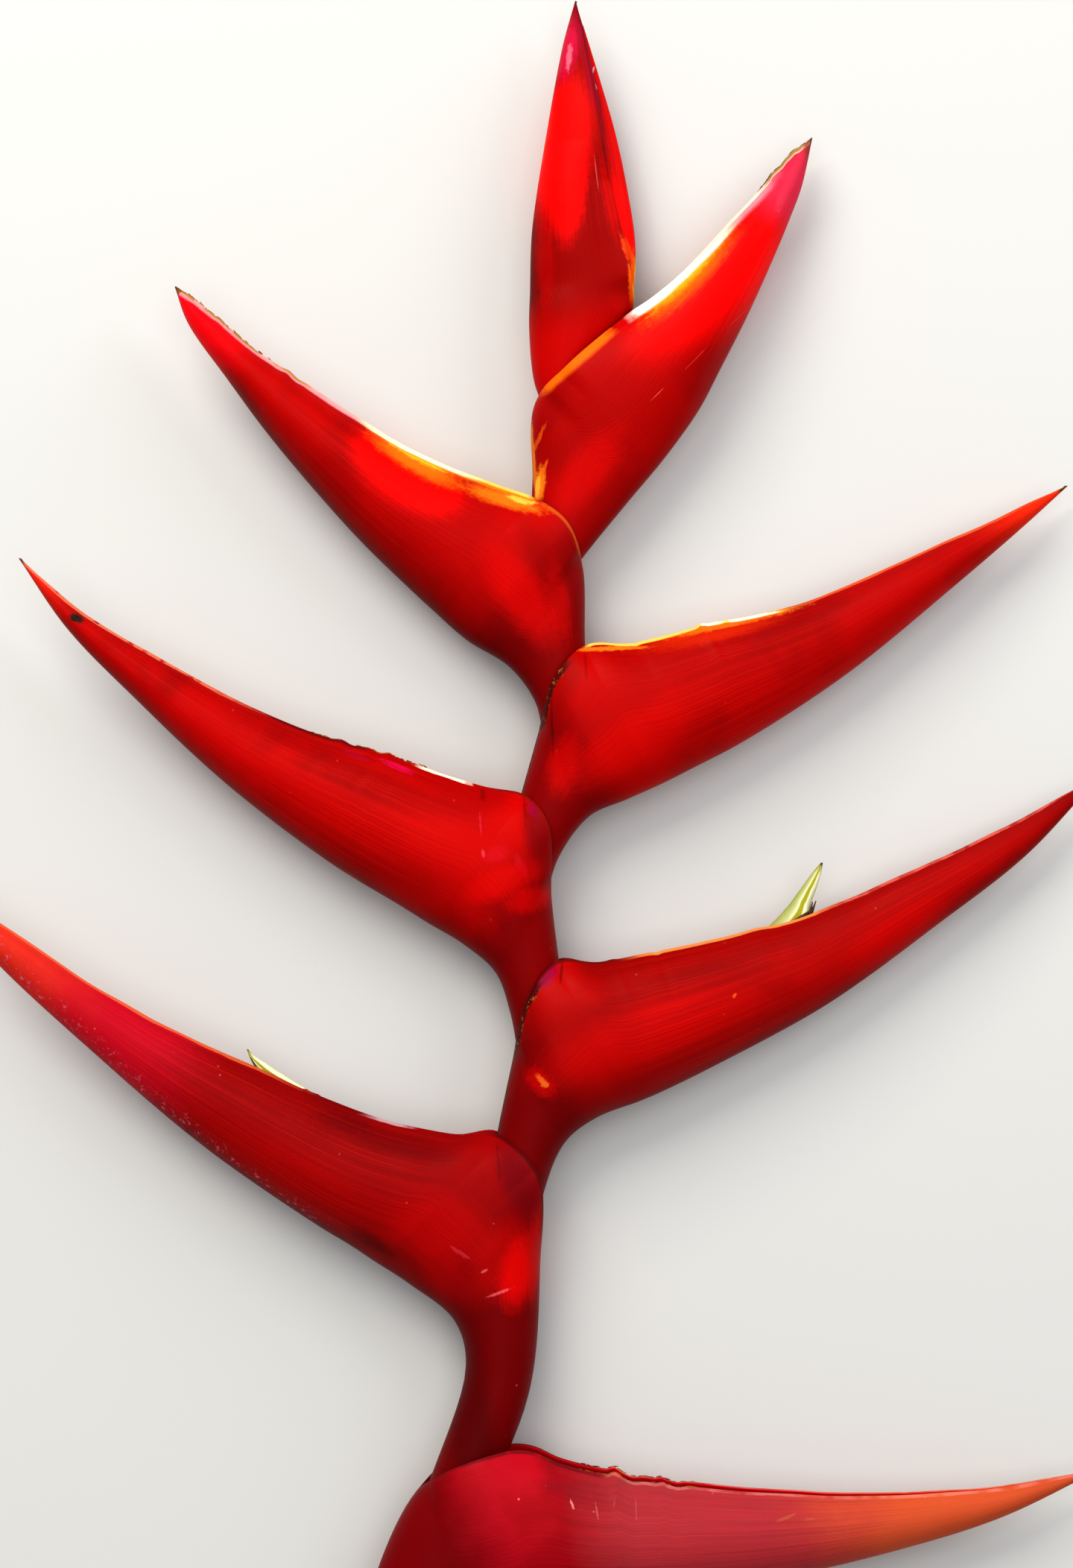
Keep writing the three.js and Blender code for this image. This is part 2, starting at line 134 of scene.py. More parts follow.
def mesh_object(name, points, faces, material, attributes=None):
    """A smooth-shaded mesh from places in millimetres, with a number for each point."""
    mesh = bpy.data.meshes.new(name)
    mesh.from_pydata((np.asarray(points) * MM).tolist(), [], faces)
    for key, values in (attributes or {}).items():
        layer = mesh.attributes.new(key, "FLOAT", "POINT")
        layer.data.foreach_set("value", np.asarray(values, np.float32).ravel())
    mesh.shade_smooth()
    mesh.materials.append(material)
    piece = bpy.data.objects.new(name, mesh)
    bpy.context.scene.collection.objects.link(piece)
    return piece


board_paint = bare_material("matt_board_paint")
board_tone = add(board_paint, "TexNoise", {"Scale": BOARD_SPOTS, "Detail": 2.0})
board_shade = add(board_paint, "Mix", {
    0: board_tone, 6: linear("CDCFD0"), 7: linear("C7C9CA"),
}, data_type="RGBA")
finish_material(board_paint, add(board_paint, "BsdfPrincipled", {
    "Base Color": board_shade, "Roughness": 0.85,
}))
half = FLOOR_SIDE / 2
floor = mesh_object("floor", [(-half, -half, 0), (half, -half, 0), (half, half, 0),
                              (-half, half, 0)], [(0, 1, 2, 3)], board_paint)

# The stem: the zigzag axis that the bracts grow on, and the stalk below it down to the cut.
# Living green tissue flushed red, its skin drawn into fine ridges by the fibres under it.
# Each row is x, y, height of its middle over the board, and radius, as on the CAD stem.
STEM_ROWS = [
    (13, 193, MIDDLE, 2), (10.9, 173.3, MIDDLE, 3.8), (10.1, 153, MIDDLE, 3.6),
    (8.3, 139.5, MIDDLE, 4), (7.7, 129.9, MIDDLE, 3.7), (11.4, 102, MIDDLE, 4),
    (8.3, 89.4, MIDDLE, 3.7), (1.6, 67.8, MIDDLE, 4), (2.9, 53.9, MIDDLE, 3.7),
    (6.4, 32.3, MIDDLE, 4.1), (3.4, 16.8, MIDDLE, 3.8), (-1.8, -10.7, MIDDLE, 4.4),
    (-2, -26, MIDDLE, 4.2), (-6.4, -45.6, MIDDLE, 4.5), (-13.7, -63.5, MIDDLE, 5),
    (-21.4, -77.5, MIDDLE, 5), (-26, -95, MIDDLE, 5.2), (-28.5, -125, MIDDLE, 5.8),
    (-29, -150, 10.6, 6.2), (-28, -205, 8, 6.4), (-26, -259.77, 6.4, 6.4),
]
STEM_STEPS = 420
STEM_SIZES = {"Sides": 72, "Ribs": 18.0, "Rib Share": 0.032, "Flatness": 1.0}


def through(points):
    """A smooth curve through the points: gives the places at shares of the way along."""
    known = np.array(points, float)
    held = np.vstack([2 * known[0] - known[1], known, 2 * known[-1] - known[-2]])

    def at(shares):
        place = np.clip(shares, 0, 1) * (len(known) - 1)
        first = np.minimum(np.floor(place).astype(int), len(known) - 2)
        t = (place - first)[:, None]
        p0, p1, p2, p3 = (held[first + step] for step in range(4))
        d0, d1, d2 = (np.sqrt(np.linalg.norm(b - a, axis=1))[:, None]
                      for a, b in ((p0, p1), (p1, p2), (p2, p3)))
        leaving = ((p1 - p0) / d0 - (p2 - p0) / (d0 + d1) + (p2 - p1) / d1) * d1
        arriving = ((p2 - p1) / d1 - (p3 - p1) / (d1 + d2) + (p3 - p2) / d2) * d1
        return (p1 + leaving * t + (3 * (p2 - p1) - 2 * leaving - arriving) * t ** 2
                + (2 * (p1 - p2) + leaving + arriving) * t ** 3)

    return at


def new_tree(name, sizes):
    """A tree of Geometry Nodes with a geometry input, its named sizes, and its input node."""
    tree = bpy.data.node_groups.new(name, "GeometryNodeTree")
    tree.interface.new_socket("Piece", in_out="OUTPUT", socket_type="NodeSocketGeometry")
    for size, kind in (("Path", "Geometry"), *sizes, ("Skin", "Material")):
        tree.interface.new_socket(size, in_out="INPUT", socket_type="NodeSocket" + kind)
    return tree, add(tree, "NodeGroupInput").outputs


def end_tree(tree, geometry, skin):
    """Ends a tree: its instances are made real and take the skin."""
    real = add(tree, "GeometryNodeRealizeInstances", [geometry])
    painted = add(tree, "GeometryNodeSetMaterial", {"Geometry": real, "Material": skin})
    add(tree, "NodeGroupOutput", [painted])


def growing_tree():
    """Draws a closed skin along paths. Its thickness at a point is the path's own "reach"."""
    tree, sizes = new_tree("grown_along_path", (
        ("Sides", "Int"), ("Ribs", "Float"), ("Rib Share", "Float"), ("Flatness", "Float")))
    place = add(tree, "SeparateXYZ", [add(tree, "GeometryNodeInputPosition")]).outputs
    turned = add(tree, "Math", [place["Y"], place["X"]], operation="ARCTAN2")
    rib_turn = add(tree, "Math", [turned, sizes["Ribs"]], operation="MULTIPLY")
    ribbed = add(tree, "Math", [rib_turn], operation="COSINE")
    sunk = add(tree, "Math", [ribbed, -1.0], operation="ADD")
    half_share = add(tree, "Math", [sizes["Rib Share"], 0.5], operation="MULTIPLY")
    width = add(tree, "Math", [sunk, half_share, 1.0], operation="MULTIPLY_ADD")
    height = add(tree, "Math", [width, sizes["Flatness"]], operation="MULTIPLY")
    ring = add(tree, "GeometryNodeCurvePrimitiveCircle", {"Resolution": sizes["Sides"],
                                                          "Radius": 1.0})
    outline = add(tree, "GeometryNodeSetPosition", {
        "Geometry": ring,
        "Position": add(tree, "CombineXYZ", [
            add(tree, "Math", [place["X"], width], operation="MULTIPLY"),
            add(tree, "Math", [place["Y"], height], operation="MULTIPLY")]),
    })
    marked = add(tree, "GeometryNodeStoreNamedAttribute", {
        "Geometry": outline, "Name": "turn",
        "Value": add(tree, "Math", [turned], operation="ABSOLUTE"),
    }, data_type="FLOAT", domain="POINT")
    path = add(tree, "GeometryNodeMeshToCurve", {"Mesh": sizes["Path"]})
    level = add(tree, "GeometryNodeSetCurveNormal", {"Curve": path}, mode="Z_UP")
    reach, cut = (add(tree, "GeometryNodeInputNamedAttribute", {"Name": name}, data_type="FLOAT")
                  for name in ("reach", "cut"))
    piece = add(tree, "GeometryNodeCurveToMesh", {
        "Curve": level, "Profile Curve": marked, "Scale": reach, "Fill Caps": True})
    # Smooth all over but for the cut face
    for test, smooth in (("LESS_THAN", True), ("GREATER_THAN", False)):
        piece = add(tree, "GeometryNodeSetShadeSmooth", {
            "Geometry": piece, "Shade Smooth": smooth,
            "Selection": add(tree, "Math", [cut, 0.99], operation=test)})
    end_tree(tree, piece, sizes["Skin"])
    return tree


def path_mesh(name, paths, numbers):
    """A mesh of bare edges along each path of places in millimetres, with its numbers."""
    mesh = bpy.data.meshes.new(name)
    starts = np.cumsum([0] + [len(path) for path in paths])
    edges = [(place, place + 1) for start, path in zip(starts, paths)
             for place in range(start, start + len(path) - 1)]
    mesh.from_pydata((np.vstack(paths) * MM).tolist(), edges, [])
    for key, values in numbers.items():
        values = np.concatenate(values).astype(np.float32)
        kind, field = ("FLOAT", "value") if values.ndim == 1 else ("FLOAT_VECTOR", "vector")
        mesh.attributes.new(key, kind, "POINT").data.foreach_set(field, values.ravel())
    return mesh


def made_by(tree, name, source, sizes):
    """The plain mesh object that a tree makes from a mesh of edges."""
    piece = bpy.data.objects.new(name, source)
    bpy.context.scene.collection.objects.link(piece)
    modifier = piece.modifiers.new(tree.name, "NODES")
    modifier.node_group = tree
    for socket in tree.interface.items_tree:
        if socket.in_out == "INPUT" and socket.name in sizes:
            modifier[socket.identifier] = sizes[socket.name]
    graph = bpy.context.evaluated_depsgraph_get()
    mesh = bpy.data.meshes.new_from_object(
        piece.evaluated_get(graph), preserve_all_data_layers=True, depsgraph=graph)
    piece.modifiers.remove(modifier)
    piece.data = mesh
    bpy.data.meshes.remove(source)
    mesh.name = name
    mesh.materials.clear()
    mesh.materials.append(sizes["Skin"])
    mesh.polygons.foreach_set("material_index", [0] * len(mesh.polygons))
    return piece


grown_along_path = growing_tree()
stem_places = through([row[:3] for row in STEM_ROWS])
stem_shares = np.linspace(0, 1, STEM_STEPS)
stem_middles = stem_places(stem_shares)
stem_radii = np.interp(stem_shares, np.linspace(0, 1, len(STEM_ROWS)),
                       [row[3] for row in STEM_ROWS])
stem_ways = np.gradient(stem_middles, axis=0)
stem_ways /= np.linalg.norm(stem_ways, axis=1)[:, None]

# Living stem skin: satin, maroon where the bracts sit and green towards the cut, with red
# flecks drawn out along the fibres. The cut face is pale wet pith.
STREAK_WIDTH_MM, STREAK_LENGTH_MM, PITH_CELL_MM = 2.5, 100 / 3, 10 / 9
RED_ABOVE, GREEN_BELOW = -100, -250
stem_skin = bare_material("living_stem_skin")
stem_where = add(stem_skin, "TexCoord").outputs["Object"]
stem_long = add(stem_skin, "Mapping", {"Vector": stem_where, "Scale": (
    1000 / STREAK_WIDTH_MM, 1000 / STREAK_LENGTH_MM, 1000 / STREAK_WIDTH_MM)})
stem_streaks = add(stem_skin, "TexNoise", {"Vector": stem_long, "Scale": 1.0, "Detail": 4.0})
stem_low = add(stem_skin, "MapRange", {
    "Value": add(stem_skin, "SeparateXYZ", [stem_where]).outputs["Y"],
    "From Min": RED_ABOVE * MM, "From Max": GREEN_BELOW * MM,
}, interpolation_type="SMOOTHSTEP")
stem_flush = add(stem_skin, "MapRange", {
    "Value": stem_streaks, "From Min": 0.45, "From Max": 0.68})
stem_cut = add(stem_skin, "Attribute", attribute_name="cut").outputs["Fac"]
stem_cells = add(stem_skin, "TexVoronoi", {"Vector": stem_where, "Scale": 1000 / PITH_CELL_MM})
stem_pith = add(stem_skin, "Mix", {
    0: stem_cells, 6: linear("A8A868"), 7: linear("E6E2B8"),
}, data_type="RGBA")
stem_shade = linear("7A1410")
for amount, shade in ((stem_low, linear("8A9440")), (stem_flush, linear("8E2A1C")),
                      (stem_cut, stem_pith)):
    stem_shade = add(stem_skin, "Mix", {0: amount, 6: stem_shade, 7: shade}, data_type="RGBA")
stem_relief = add(stem_skin, "Bump", {
    "Height": stem_streaks, "Strength": 0.25, "Distance": 0.4 * MM})
finish_material(stem_skin, add(stem_skin, "BsdfPrincipled", {
    "Base Color": stem_shade, "Roughness": 0.42, "IOR": 1.42, "Normal": stem_relief,
    "Subsurface Weight": 0.08, "Subsurface Radius": (0.9, 0.4, 0.2),
    "Subsurface Scale": 1.2 * MM,
}))

# The cut's rim: how far past the last row, share of its radius, and how much of it is pith
CUT_RIM = [(0.05, 0.985, 0.3), (0.09, 0.955, 1)]
rim_middles = [stem_middles[-1] + stem_ways[-1] * past for past, _, _ in CUT_RIM]
stem_path = path_mesh("stem_path", [np.vstack([stem_middles, rim_middles])], {
    "reach": [stem_radii * MM, [STEM_ROWS[-1][3] * MM * share for _, share, _ in CUT_RIM]],
    "cut": [np.zeros(STEM_STEPS), [pith for _, _, pith in CUT_RIM]],
})
stem = made_by(grown_along_path, "stem_skin", stem_path, {**STEM_SIZES, "Skin": stem_skin})
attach(stem, "root")
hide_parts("stem")

# The bracts: leathery, waxy leaves folded along a keel like a boat's hull. Each grew in one
# piece with a sheath that wraps the stem below it, and its margins close over the sheath of
# the bract above. Places are x, y in millimetres; the words are those of the CAD model.
WALL, CLEARANCE, MARGIN_SLIT = 0.85, 0.36, 0.3
# How much the sheath widens below the mouth, and how far a margin stays off what it clasps
SHEATH_FLARE, MARGIN_SPARE = 1.6, 0.9
# From the lip corner's knot on: share of the bract's half width, and half the lips' opening
BLADE_WIDTH = [1, 1, 0.92, 0.7, 0.48, 0.27]
BLADE_OPENING = [4.4, 4.2, 3.6, 2.8, 1.8, 0.8]
NOTCH_KNOT, CORNER_KNOT = 2, 4
# From the youngest down. A rib joins a place on the keel to one on the margin. A tear is where
# along x, how wide and how deep, and it is a fold outwards where its depth is below 0.
BRACTS = [
    {
        "name": "bract_1", "side": -1, "base": 173.3, "notch": 194.5, "clasp": 5,
        "width": 8.2, "lean": 1, "neck": [(4.2, 178.7), (3.2, 189.9)], "held": (25.6, 194.5),
        "ribs": [
            (3.4, 197.9, 25, 200.8), (3.5, 204.3, 23.4, 207.5), (3.8, 210.4, 22.4, 211.2),
            (4.8, 218.4, 20.8, 218.4), (7.2, 233.1, 18.1, 233.9), (8.8, 242.2, 16.8, 242.2),
            (10.7, 251.5, 14.9, 252.3),
        ],
        "tip": (13.1, 260),
    },
    {
        "name": "bract_2", "side": 1, "base": 139.5, "notch": 173.3, "clasp": 7.6,
        "width": 10.5, "lean": -3, "neck": [(17.6, 144.2), (25.6, 153.9)],
        "ribs": [
            (32.5, 162.2, 12, 181.8), (39.7, 172.3, 25.3, 192.8), (44, 180.5, 30.4, 196.3),
            (50.1, 192.5, 36.8, 201.9), (56, 205.6, 46.4, 212.2), (59.2, 213.3, 53.1, 219.5),
            (61.9, 220.6, 59.5, 226.9),
        ],
        "tip": (64.2, 231),
        "tears": [(55.5, 0.7, -0.25), (57.5, 0.6, 0.25), (60.2, 0.5, -0.2)],
    },
    {
        "name": "bract_3", "side": -1, "base": 102, "notch": 139.5, "clasp": 6.2,
        "width": 11.5, "lean": 5, "neck": [(4.6, 109.4), (-0.8, 116.9)],
        "ribs": [
            (-10.2, 122.9, 11.5, 147.7), (-17.6, 129.4, 4, 153), (-23.2, 134.6, -4, 155.7),
            (-34.2, 145.4, -20.8, 162.6), (-51.7, 165.6, -43.2, 176.5),
            (-61.6, 178.9, -56.8, 185.6), (-69.8, 190.6, -67.4, 194.6),
        ],
        "tip": (-72.5, 198.2),
        "tears": [(-48.5, 0.9, -0.3), (-46, 1, 0.2), (-63, 0.8, -0.2)],
    },
    {
        "name": "bract_4", "side": 1, "base": 67.8, "notch": 102, "clasp": 6.2,
        "width": 11.5, "lean": -4, "neck": [(9.6, 76.3), (16.2, 85.1)],
        "ribs": [
            (24, 88.6, 8.5, 114.6), (31.2, 91.8, 15.5, 121.4), (37.6, 95, 24.8, 121.8),
            (50.1, 101.6, 38.1, 125), (72, 116, 62.4, 130.7), (95.2, 135, 88, 141.6),
            (109.4, 147.2, 105.9, 149.9),
        ],
        "tip": (119.4, 156.3),
        "tears": [(40.3, 0.8, -0.5), (43, 4, -0.25), (26, 1, 0.2)],
    },
    {
        "name": "bract_5", "side": -1, "base": 32.3, "notch": 67.8, "clasp": 6.4,
        "width": 12, "lean": 5, "neck": [(-1, 43.5), (-4, 51.5)],
        "ribs": [
            (-10.9, 57.6, 7.2, 83.8), (-18.4, 62.1, 2.1, 89.4), (-24.8, 66.1, -7.2, 91.4),
            (-38.9, 74.7, -23.2, 96.8), (-61.1, 91.5, -49.6, 105.1), (-81, 110.1, -75.2, 118.2),
            (-95.7, 125.3, -92.5, 128.6),
        ],
        "tip": (-105.9, 140.3),
        "tears": [(-37.1, 0.7, -0.3), (-34.6, 0.6, 0.25), (-31, 0.7, -0.25), (-29, 0.8, 0.3),
                  (-26.9, 0.6, -0.35), (-23.2, 0.9, 0.3)], "far_drop": 0.4,
    },
    {
        "name": "bract_6", "side": 1, "base": -10.7, "notch": 32.3, "clasp": 6.6,
        "width": 12, "lean": -4, "neck": [(6.2, 3.7), (10.9, 15)],
        "ribs": [
            (17.6, 20.3, 2.6, 45.6), (27.2, 24, 9.3, 53.8), (32.3, 26.2, 18.4, 53.8),
            (42.9, 31.4, 33.6, 56.5), (67.2, 44.6, 59.2, 62.4), (91.5, 62.1, 84.8, 72.8),
            (110.4, 76.8, 105.9, 82.6),
        ],
        "tip": (126.4, 93.9),
        "tears": [(52, 3, -0.3), (30.5, 0.8, 0.25), (21, 1, -0.2)], "far_drop": 0.5,
    },
    {
        "name": "bract_7", "side": -1, "base": -63.5, "notch": -10.7, "clasp": 7,
        "width": 12, "lean": 4, "neck": [(-10.4, -33), (-12.9, -23.1)],
        "ribs": [
            (-22.4, -15.4, 5.1, 8.6), (-30.4, -10.2, -3.7, 16.8), (-35.2, -7, -13.6, 17.1),
            (-42.4, -2.6, -30.4, 20.8), (-66.1, 13.9, -56, 31.5), (-89, 33.4, -81.6, 43.7),
            (-113.3, 56.3, -108.8, 61),
        ],
        "tip": (-126.4, 73.1),
        "tears": [(-44.3, 0.5, -0.35), (-42.4, 0.6, -0.25)], "far_drop": 1,
    },
    {
        "name": "bract_8", "side": 1, "base": -125, "notch": -63.5, "clasp": 7.4,
        "width": 12, "lean": -3, "neck": [(-15.7, -98.9), (-9.3, -89.1)],
        "ribs": [
            (-1.3, -85.6, -10.4, -52.8), (9.1, -84.8, 2.1, -50.7), (16, -84.3, 10.4, -53.8),
            (26.6, -83, 25.9, -57.1), (53.9, -79.2, 52, -60), (82.1, -72.8, 79.7, -61.1),
            (104.8, -65.8, 104.8, -59.4),
        ],
        "tip": (126.1, -55.7),
        "tears": [(21.6, 1.2, -0.9), (25.5, 1.6, 0.5), (31.7, 0.7, -0.5), (35, 1.4, 0.4)],
    },
]
# Sections between one knot and the next, points from keel to margin, and round the lip
SECTIONS = [8, 14, 28, 24, 10, 24, 32, 34, 32, 30]
CHEEK_POINTS, LIP_POINTS = 25, 3
RIPPLE, RIPPLE_LENGTH = 0.28, 11
DIMPLE, DIMPLE_LENGTH = 0.22, 9


def stem_at(y):
    """The stem's middle, the way to its right, and its radius, where it passes height y."""
    share = np.interp(-y, -stem_middles[:, 1], stem_shares)
    middle = stem_places(np.array([share]))[0]
    step = np.interp(share, stem_shares, np.arange(STEM_STEPS))
    way = stem_ways[int(round(step))]
    right = np.array([-way[1], way[0]])
    return middle[:2], right / np.linalg.norm(right), np.interp(share, stem_shares, stem_radii)


def bract_knots(bract):
    """Keel places, margin places and section sizes: width, opening, closed, sharpness."""
    (base, base_right, base_radius), (neck, neck_right, _), (notch, notch_right, notch_radius) = (
        stem_at(y) for y in (bract["base"], (bract["base"] + bract["notch"]) / 2, bract["notch"]))
    fit = CLEARANCE + WALL
    base_reach = base_radius + fit
    reach = max(base_radius, notch_radius) + 2 * fit
    side = bract["side"]
    held = bract.get("held", notch - notch_right * side * reach)
    keel = [base + base_right * side * base_reach, *bract["neck"],
            *(rib[:2] for rib in bract["ribs"]), bract["tip"]]
    margin = [base - base_right * side * base_reach, neck - neck_right * side * reach, held,
              *(rib[2:] for rib in bract["ribs"]), bract["tip"]]
    width, clasp = bract["width"], bract["clasp"]
    sizes = [(base_reach, MARGIN_SLIT, 1, 1), (reach, MARGIN_SLIT, 1, 1),
             (reach + SHEATH_FLARE, MARGIN_SLIT, 1, 0.9),
             (max(clasp + fit + 0.5, 0.95 * width), clasp + CLEARANCE, 0.4, 1.05)]
    sizes += [(share * width, opening, 0, 1.25 if rib else 1.1)
              for rib, (share, opening) in enumerate(zip(BLADE_WIDTH, BLADE_OPENING))]
    sizes.append((0, 0, 0, 1.25))
    return np.array(keel, float), np.array(margin, float), np.array(sizes, float)


def clear_of_sheath(margin):
    """Half the opening that a margin needs at a place to clear the sheath that it clasps."""
    needed = []
    for point in margin:
        middle, right, radius = stem_at(point[1])
        off = abs(right @ (point - middle))
        reach = radius + 2 * (CLEARANCE + WALL) + MARGIN_SPARE
        needed.append(math.sqrt(reach ** 2 - off ** 2) + CLEARANCE if off < reach
                      else MARGIN_SLIT)
    return np.array(needed)


def eased(low, high, values):
    """0 below low, 1 above high, and smooth between."""
    share = np.clip((values - low) / (high - low), 0, 1)
    return share * share * (3 - 2 * share)


def wander(places, length, seed):
    """Smooth noise from -1 to 1 at places in millimetres, with humps that long."""
    return np.array([noise.noise(Vector(place) / length + Vector((seed, 0, 0)))
                     for place in np.asarray(places, float).reshape(-1, 3)])


def cheek(width, opening, sharpness):
    """From keel to margin: share of the way across, and distance off the middle plane."""
    last = math.pi - np.arcsin(np.clip(opening / width, 0, 1) ** (1 / sharpness))
    angle = last[:, None] * np.linspace(0, 1, CHEEK_POINTS)[None, :]
    across = (1 - np.cos(angle)) / (1 - np.cos(last))[:, None]
    rise = width[:, None] * np.clip(np.sin(angle), 0, 1) ** sharpness[:, None]
    return across, rise


def bract_mesh(bract, seed):
    """The bract's closed surface, ring by ring, and the numbers that its skin is painted by."""
    keel_knots, margin_knots, sizes = bract_knots(bract)
    last_knot = len(sizes) - 1
    knot_place = np.concatenate([knot + np.arange(steps) / steps
                                 for knot, steps in enumerate(SECTIONS)])
    shares = knot_place / last_knot
    keel = through(keel_knots)(shares)
    margin = through(margin_knots)(shares)
    knot_numbers = np.arange(len(sizes))
    width, opening, closed, sharpness = (
        through(np.column_stack([knot_numbers, column]))(shares)[:, 1] for column in sizes.T)
    width = np.maximum(width, 0.8)
    wall = np.minimum(WALL, 0.42 * width)
    closed = np.clip(closed, 0, 1)
    open_by = eased(NOTCH_KNOT, NOTCH_KNOT + 0.4, knot_place)
    parted = MARGIN_SLIT + (clear_of_sheath(margin) - MARGIN_SLIT) * open_by
    opening = np.minimum(np.maximum(opening, parted), width - wall - 0.1)
    inward = margin - keel
    depth = np.linalg.norm(inward, axis=1)
    inward /= depth[:, None]
    out = (knot_place - CORNER_KNOT) / (last_knot - CORNER_KNOT)
    middle = MIDDLE + bract["lean"] * np.clip(out, 0, 1) ** 2

    # The lip wanders a little, with folds and torn notches where the bract has them. The lip of
    # the far cheek stands a little lower.
    ripple = RIPPLE * wander(np.column_stack([margin, middle]), RIPPLE_LENGTH, seed)
    ripple *= eased(0, 0.08, out) * (1 - eased(0.8, 1, out))
    for tear_at, tear_width, tear_depth in bract.get("tears", ()):
        ripple -= tear_depth * np.exp(-((margin[:, 0] - tear_at) / tear_width) ** 2)
    margin = margin + inward * ripple[:, None]
    dropped = bract.get("far_drop", 0) * eased(0.02, 0.12, out) * (1 - eased(0.8, 1, out))
    far_margin = margin - inward * dropped[:, None]

    outer = cheek(width, opening + (1 - closed) * wall, sharpness)
    inner = cheek(width - wall, opening, sharpness)
    inner_keel = keel + inward * ((1.5 - 0.5 * closed) * wall)[:, None]
    inner_margin = margin - inward * (closed * wall)[:, None]
    inner_far = far_margin - inward * (closed * wall)[:, None]

    def cheek_places(from_line, to_line, rows, upward, lowest):
        across, rise = rows
        flat = from_line[:, None, :] + (to_line - from_line)[:, None, :] * across[:, :, None]
        height = np.maximum(middle[:, None] + upward * rise, lowest)
        return np.concatenate([flat, height[:, :, None]], axis=2)

    upper = cheek_places(keel, margin, outer, 1, 0)
    lower = cheek_places(keel, far_margin, outer, -1, 0)
    dimples = DIMPLE * (wander(upper, DIMPLE_LENGTH, seed + 7).reshape(outer[1].shape) - 0.25)
    dimples *= np.sin(np.linspace(0, math.pi, CHEEK_POINTS))[None, :]
    upper[:, :, 2] += np.minimum(dimples, 0)
    inner_upper = cheek_places(inner_keel, inner_margin, inner, 1, 0.8 * WALL)
    inner_lower = cheek_places(inner_keel, inner_far, inner, -1, 0.8 * WALL)

    def lip(one, other, upward):
        """The rounded lip from one face's margin to the other face's, on one cheek."""
        centre, spoke = (one + other) / 2, (one - other) / 2
        forward = np.einsum("ij,ij->i", spoke[:, :2], inward)
        ahead = np.column_stack([inward * np.abs(spoke[:, 2:]), -upward * np.abs(forward)])
        ahead *= (0.8 - 0.3 * closed)[:, None]
        angles = np.linspace(0, math.pi, LIP_POINTS + 2)[1:-1]
        return np.stack([centre + spoke * math.cos(angle) + ahead * math.sin(angle)
                         for angle in angles], axis=1)

    rings = np.concatenate([
        upper[:, ::-1], lower[:, 1:], lip(lower[:, -1], inner_lower[:, -1], -1),
        inner_lower[:, ::-1], inner_upper[:, 1:], lip(inner_upper[:, -1], upper[:, -1], 1),
    ], axis=1)
    row = np.linspace(0, 1, CHEEK_POINTS)
    ones = np.ones(LIP_POINTS)
    across = np.concatenate([row[::-1], row[1:], ones, row[::-1], row[1:], ones])
    inside = np.concatenate([0 * row, 0 * row[1:], 0.5 * ones, 0 * row + 1, 0 * row[1:] + 1,
                             0.5 * ones])
    steps = np.linalg.norm(np.diff(upper, axis=1), axis=2)
    from_keel = np.concatenate([np.zeros((len(keel), 1)), np.cumsum(steps, axis=1)], axis=1)
    to_margin = from_keel[:, -1:] - from_keel
    lips = np.zeros((len(keel), LIP_POINTS))

    def round_ring(values, at_lip):
        return np.concatenate([values[:, ::-1], values[:, 1:], at_lip, values[:, ::-1],
                               values[:, 1:], at_lip], axis=1)

    walked = np.linalg.norm(np.diff((keel + margin) / 2, axis=0), axis=1)
    along = np.append(0, np.cumsum(walked))
    numbers = {
        "across": np.tile(across, (len(keel), 1)),
        "along_mm": np.tile(along[:, None], (1, len(across))),
        "inside": np.tile(inside, (len(keel), 1)),
        "out": np.tile(out[:, None], (1, len(across))),
        "keel_mm": round_ring(from_keel, lips + from_keel[:, -1:]),
        "edge_mm": round_ring(to_margin, lips),
    }
    return rings, numbers, np.array([*bract["tip"], MIDDLE + bract["lean"]])


def tube_faces(count, sides):
    """Faces round and along closed rings of points."""
    return [(ring * sides + side, ring * sides + (side + 1) % sides,
             (ring + 1) * sides + (side + 1) % sides, (ring + 1) * sides + side)
            for ring in range(count - 1) for side in range(sides)]


def bract_faces(count, sides):
    """Faces over the bract's rings: a wall at the sheath's foot and one point at the tip."""
    last, tip = (count - 1) * sides, count * sides
    faces = tube_faces(count, sides)
    faces += [(last + side, last + (side + 1) % sides, tip) for side in range(sides)]
    # The foot's wall joins the outer row to the inner row, which runs the other way round
    row = 2 * CHEEK_POINTS - 1
    inner_end = 2 * row + LIP_POINTS - 1
    faces += [(place + 1, place, inner_end - place, inner_end - place - 1)
              for place in range(row - 1)]
    faces.append((row - 1, *range(row + LIP_POINTS, row - 1, -1)))
    faces.append((0, *range(sides - 1, inner_end - 1, -1)))
    return faces


def facing_out(points, faces):
    """The faces, all turned over where they bound the points' volume inside out."""
    corners = np.array([face[:3] for face in faces if len(face) == 3]
                       + [half for face in faces if len(face) == 4
                          for half in (face[:3], (face[0], face[2], face[3]))])
    a, b, c = (np.asarray(points)[corners[:, place]] for place in range(3))
    volume = np.einsum("ij,ij->i", a, np.cross(b, c)).sum()
    return faces if volume > 0 else [face[::-1] for face in faces]


# Living bract skin: tough and waxy, so it shines softly, with fine parallel veins under a clear
# red flesh that light passes into. It is painted by the numbers that the mesh carries, which
# the mottling moves by up to this much, and by three noises from fine to coarse.
WANDERS = {"across": 0.1, "out": 0.04, "keel_mm": 1.2, "edge_mm": 0.35, "inside": 0}
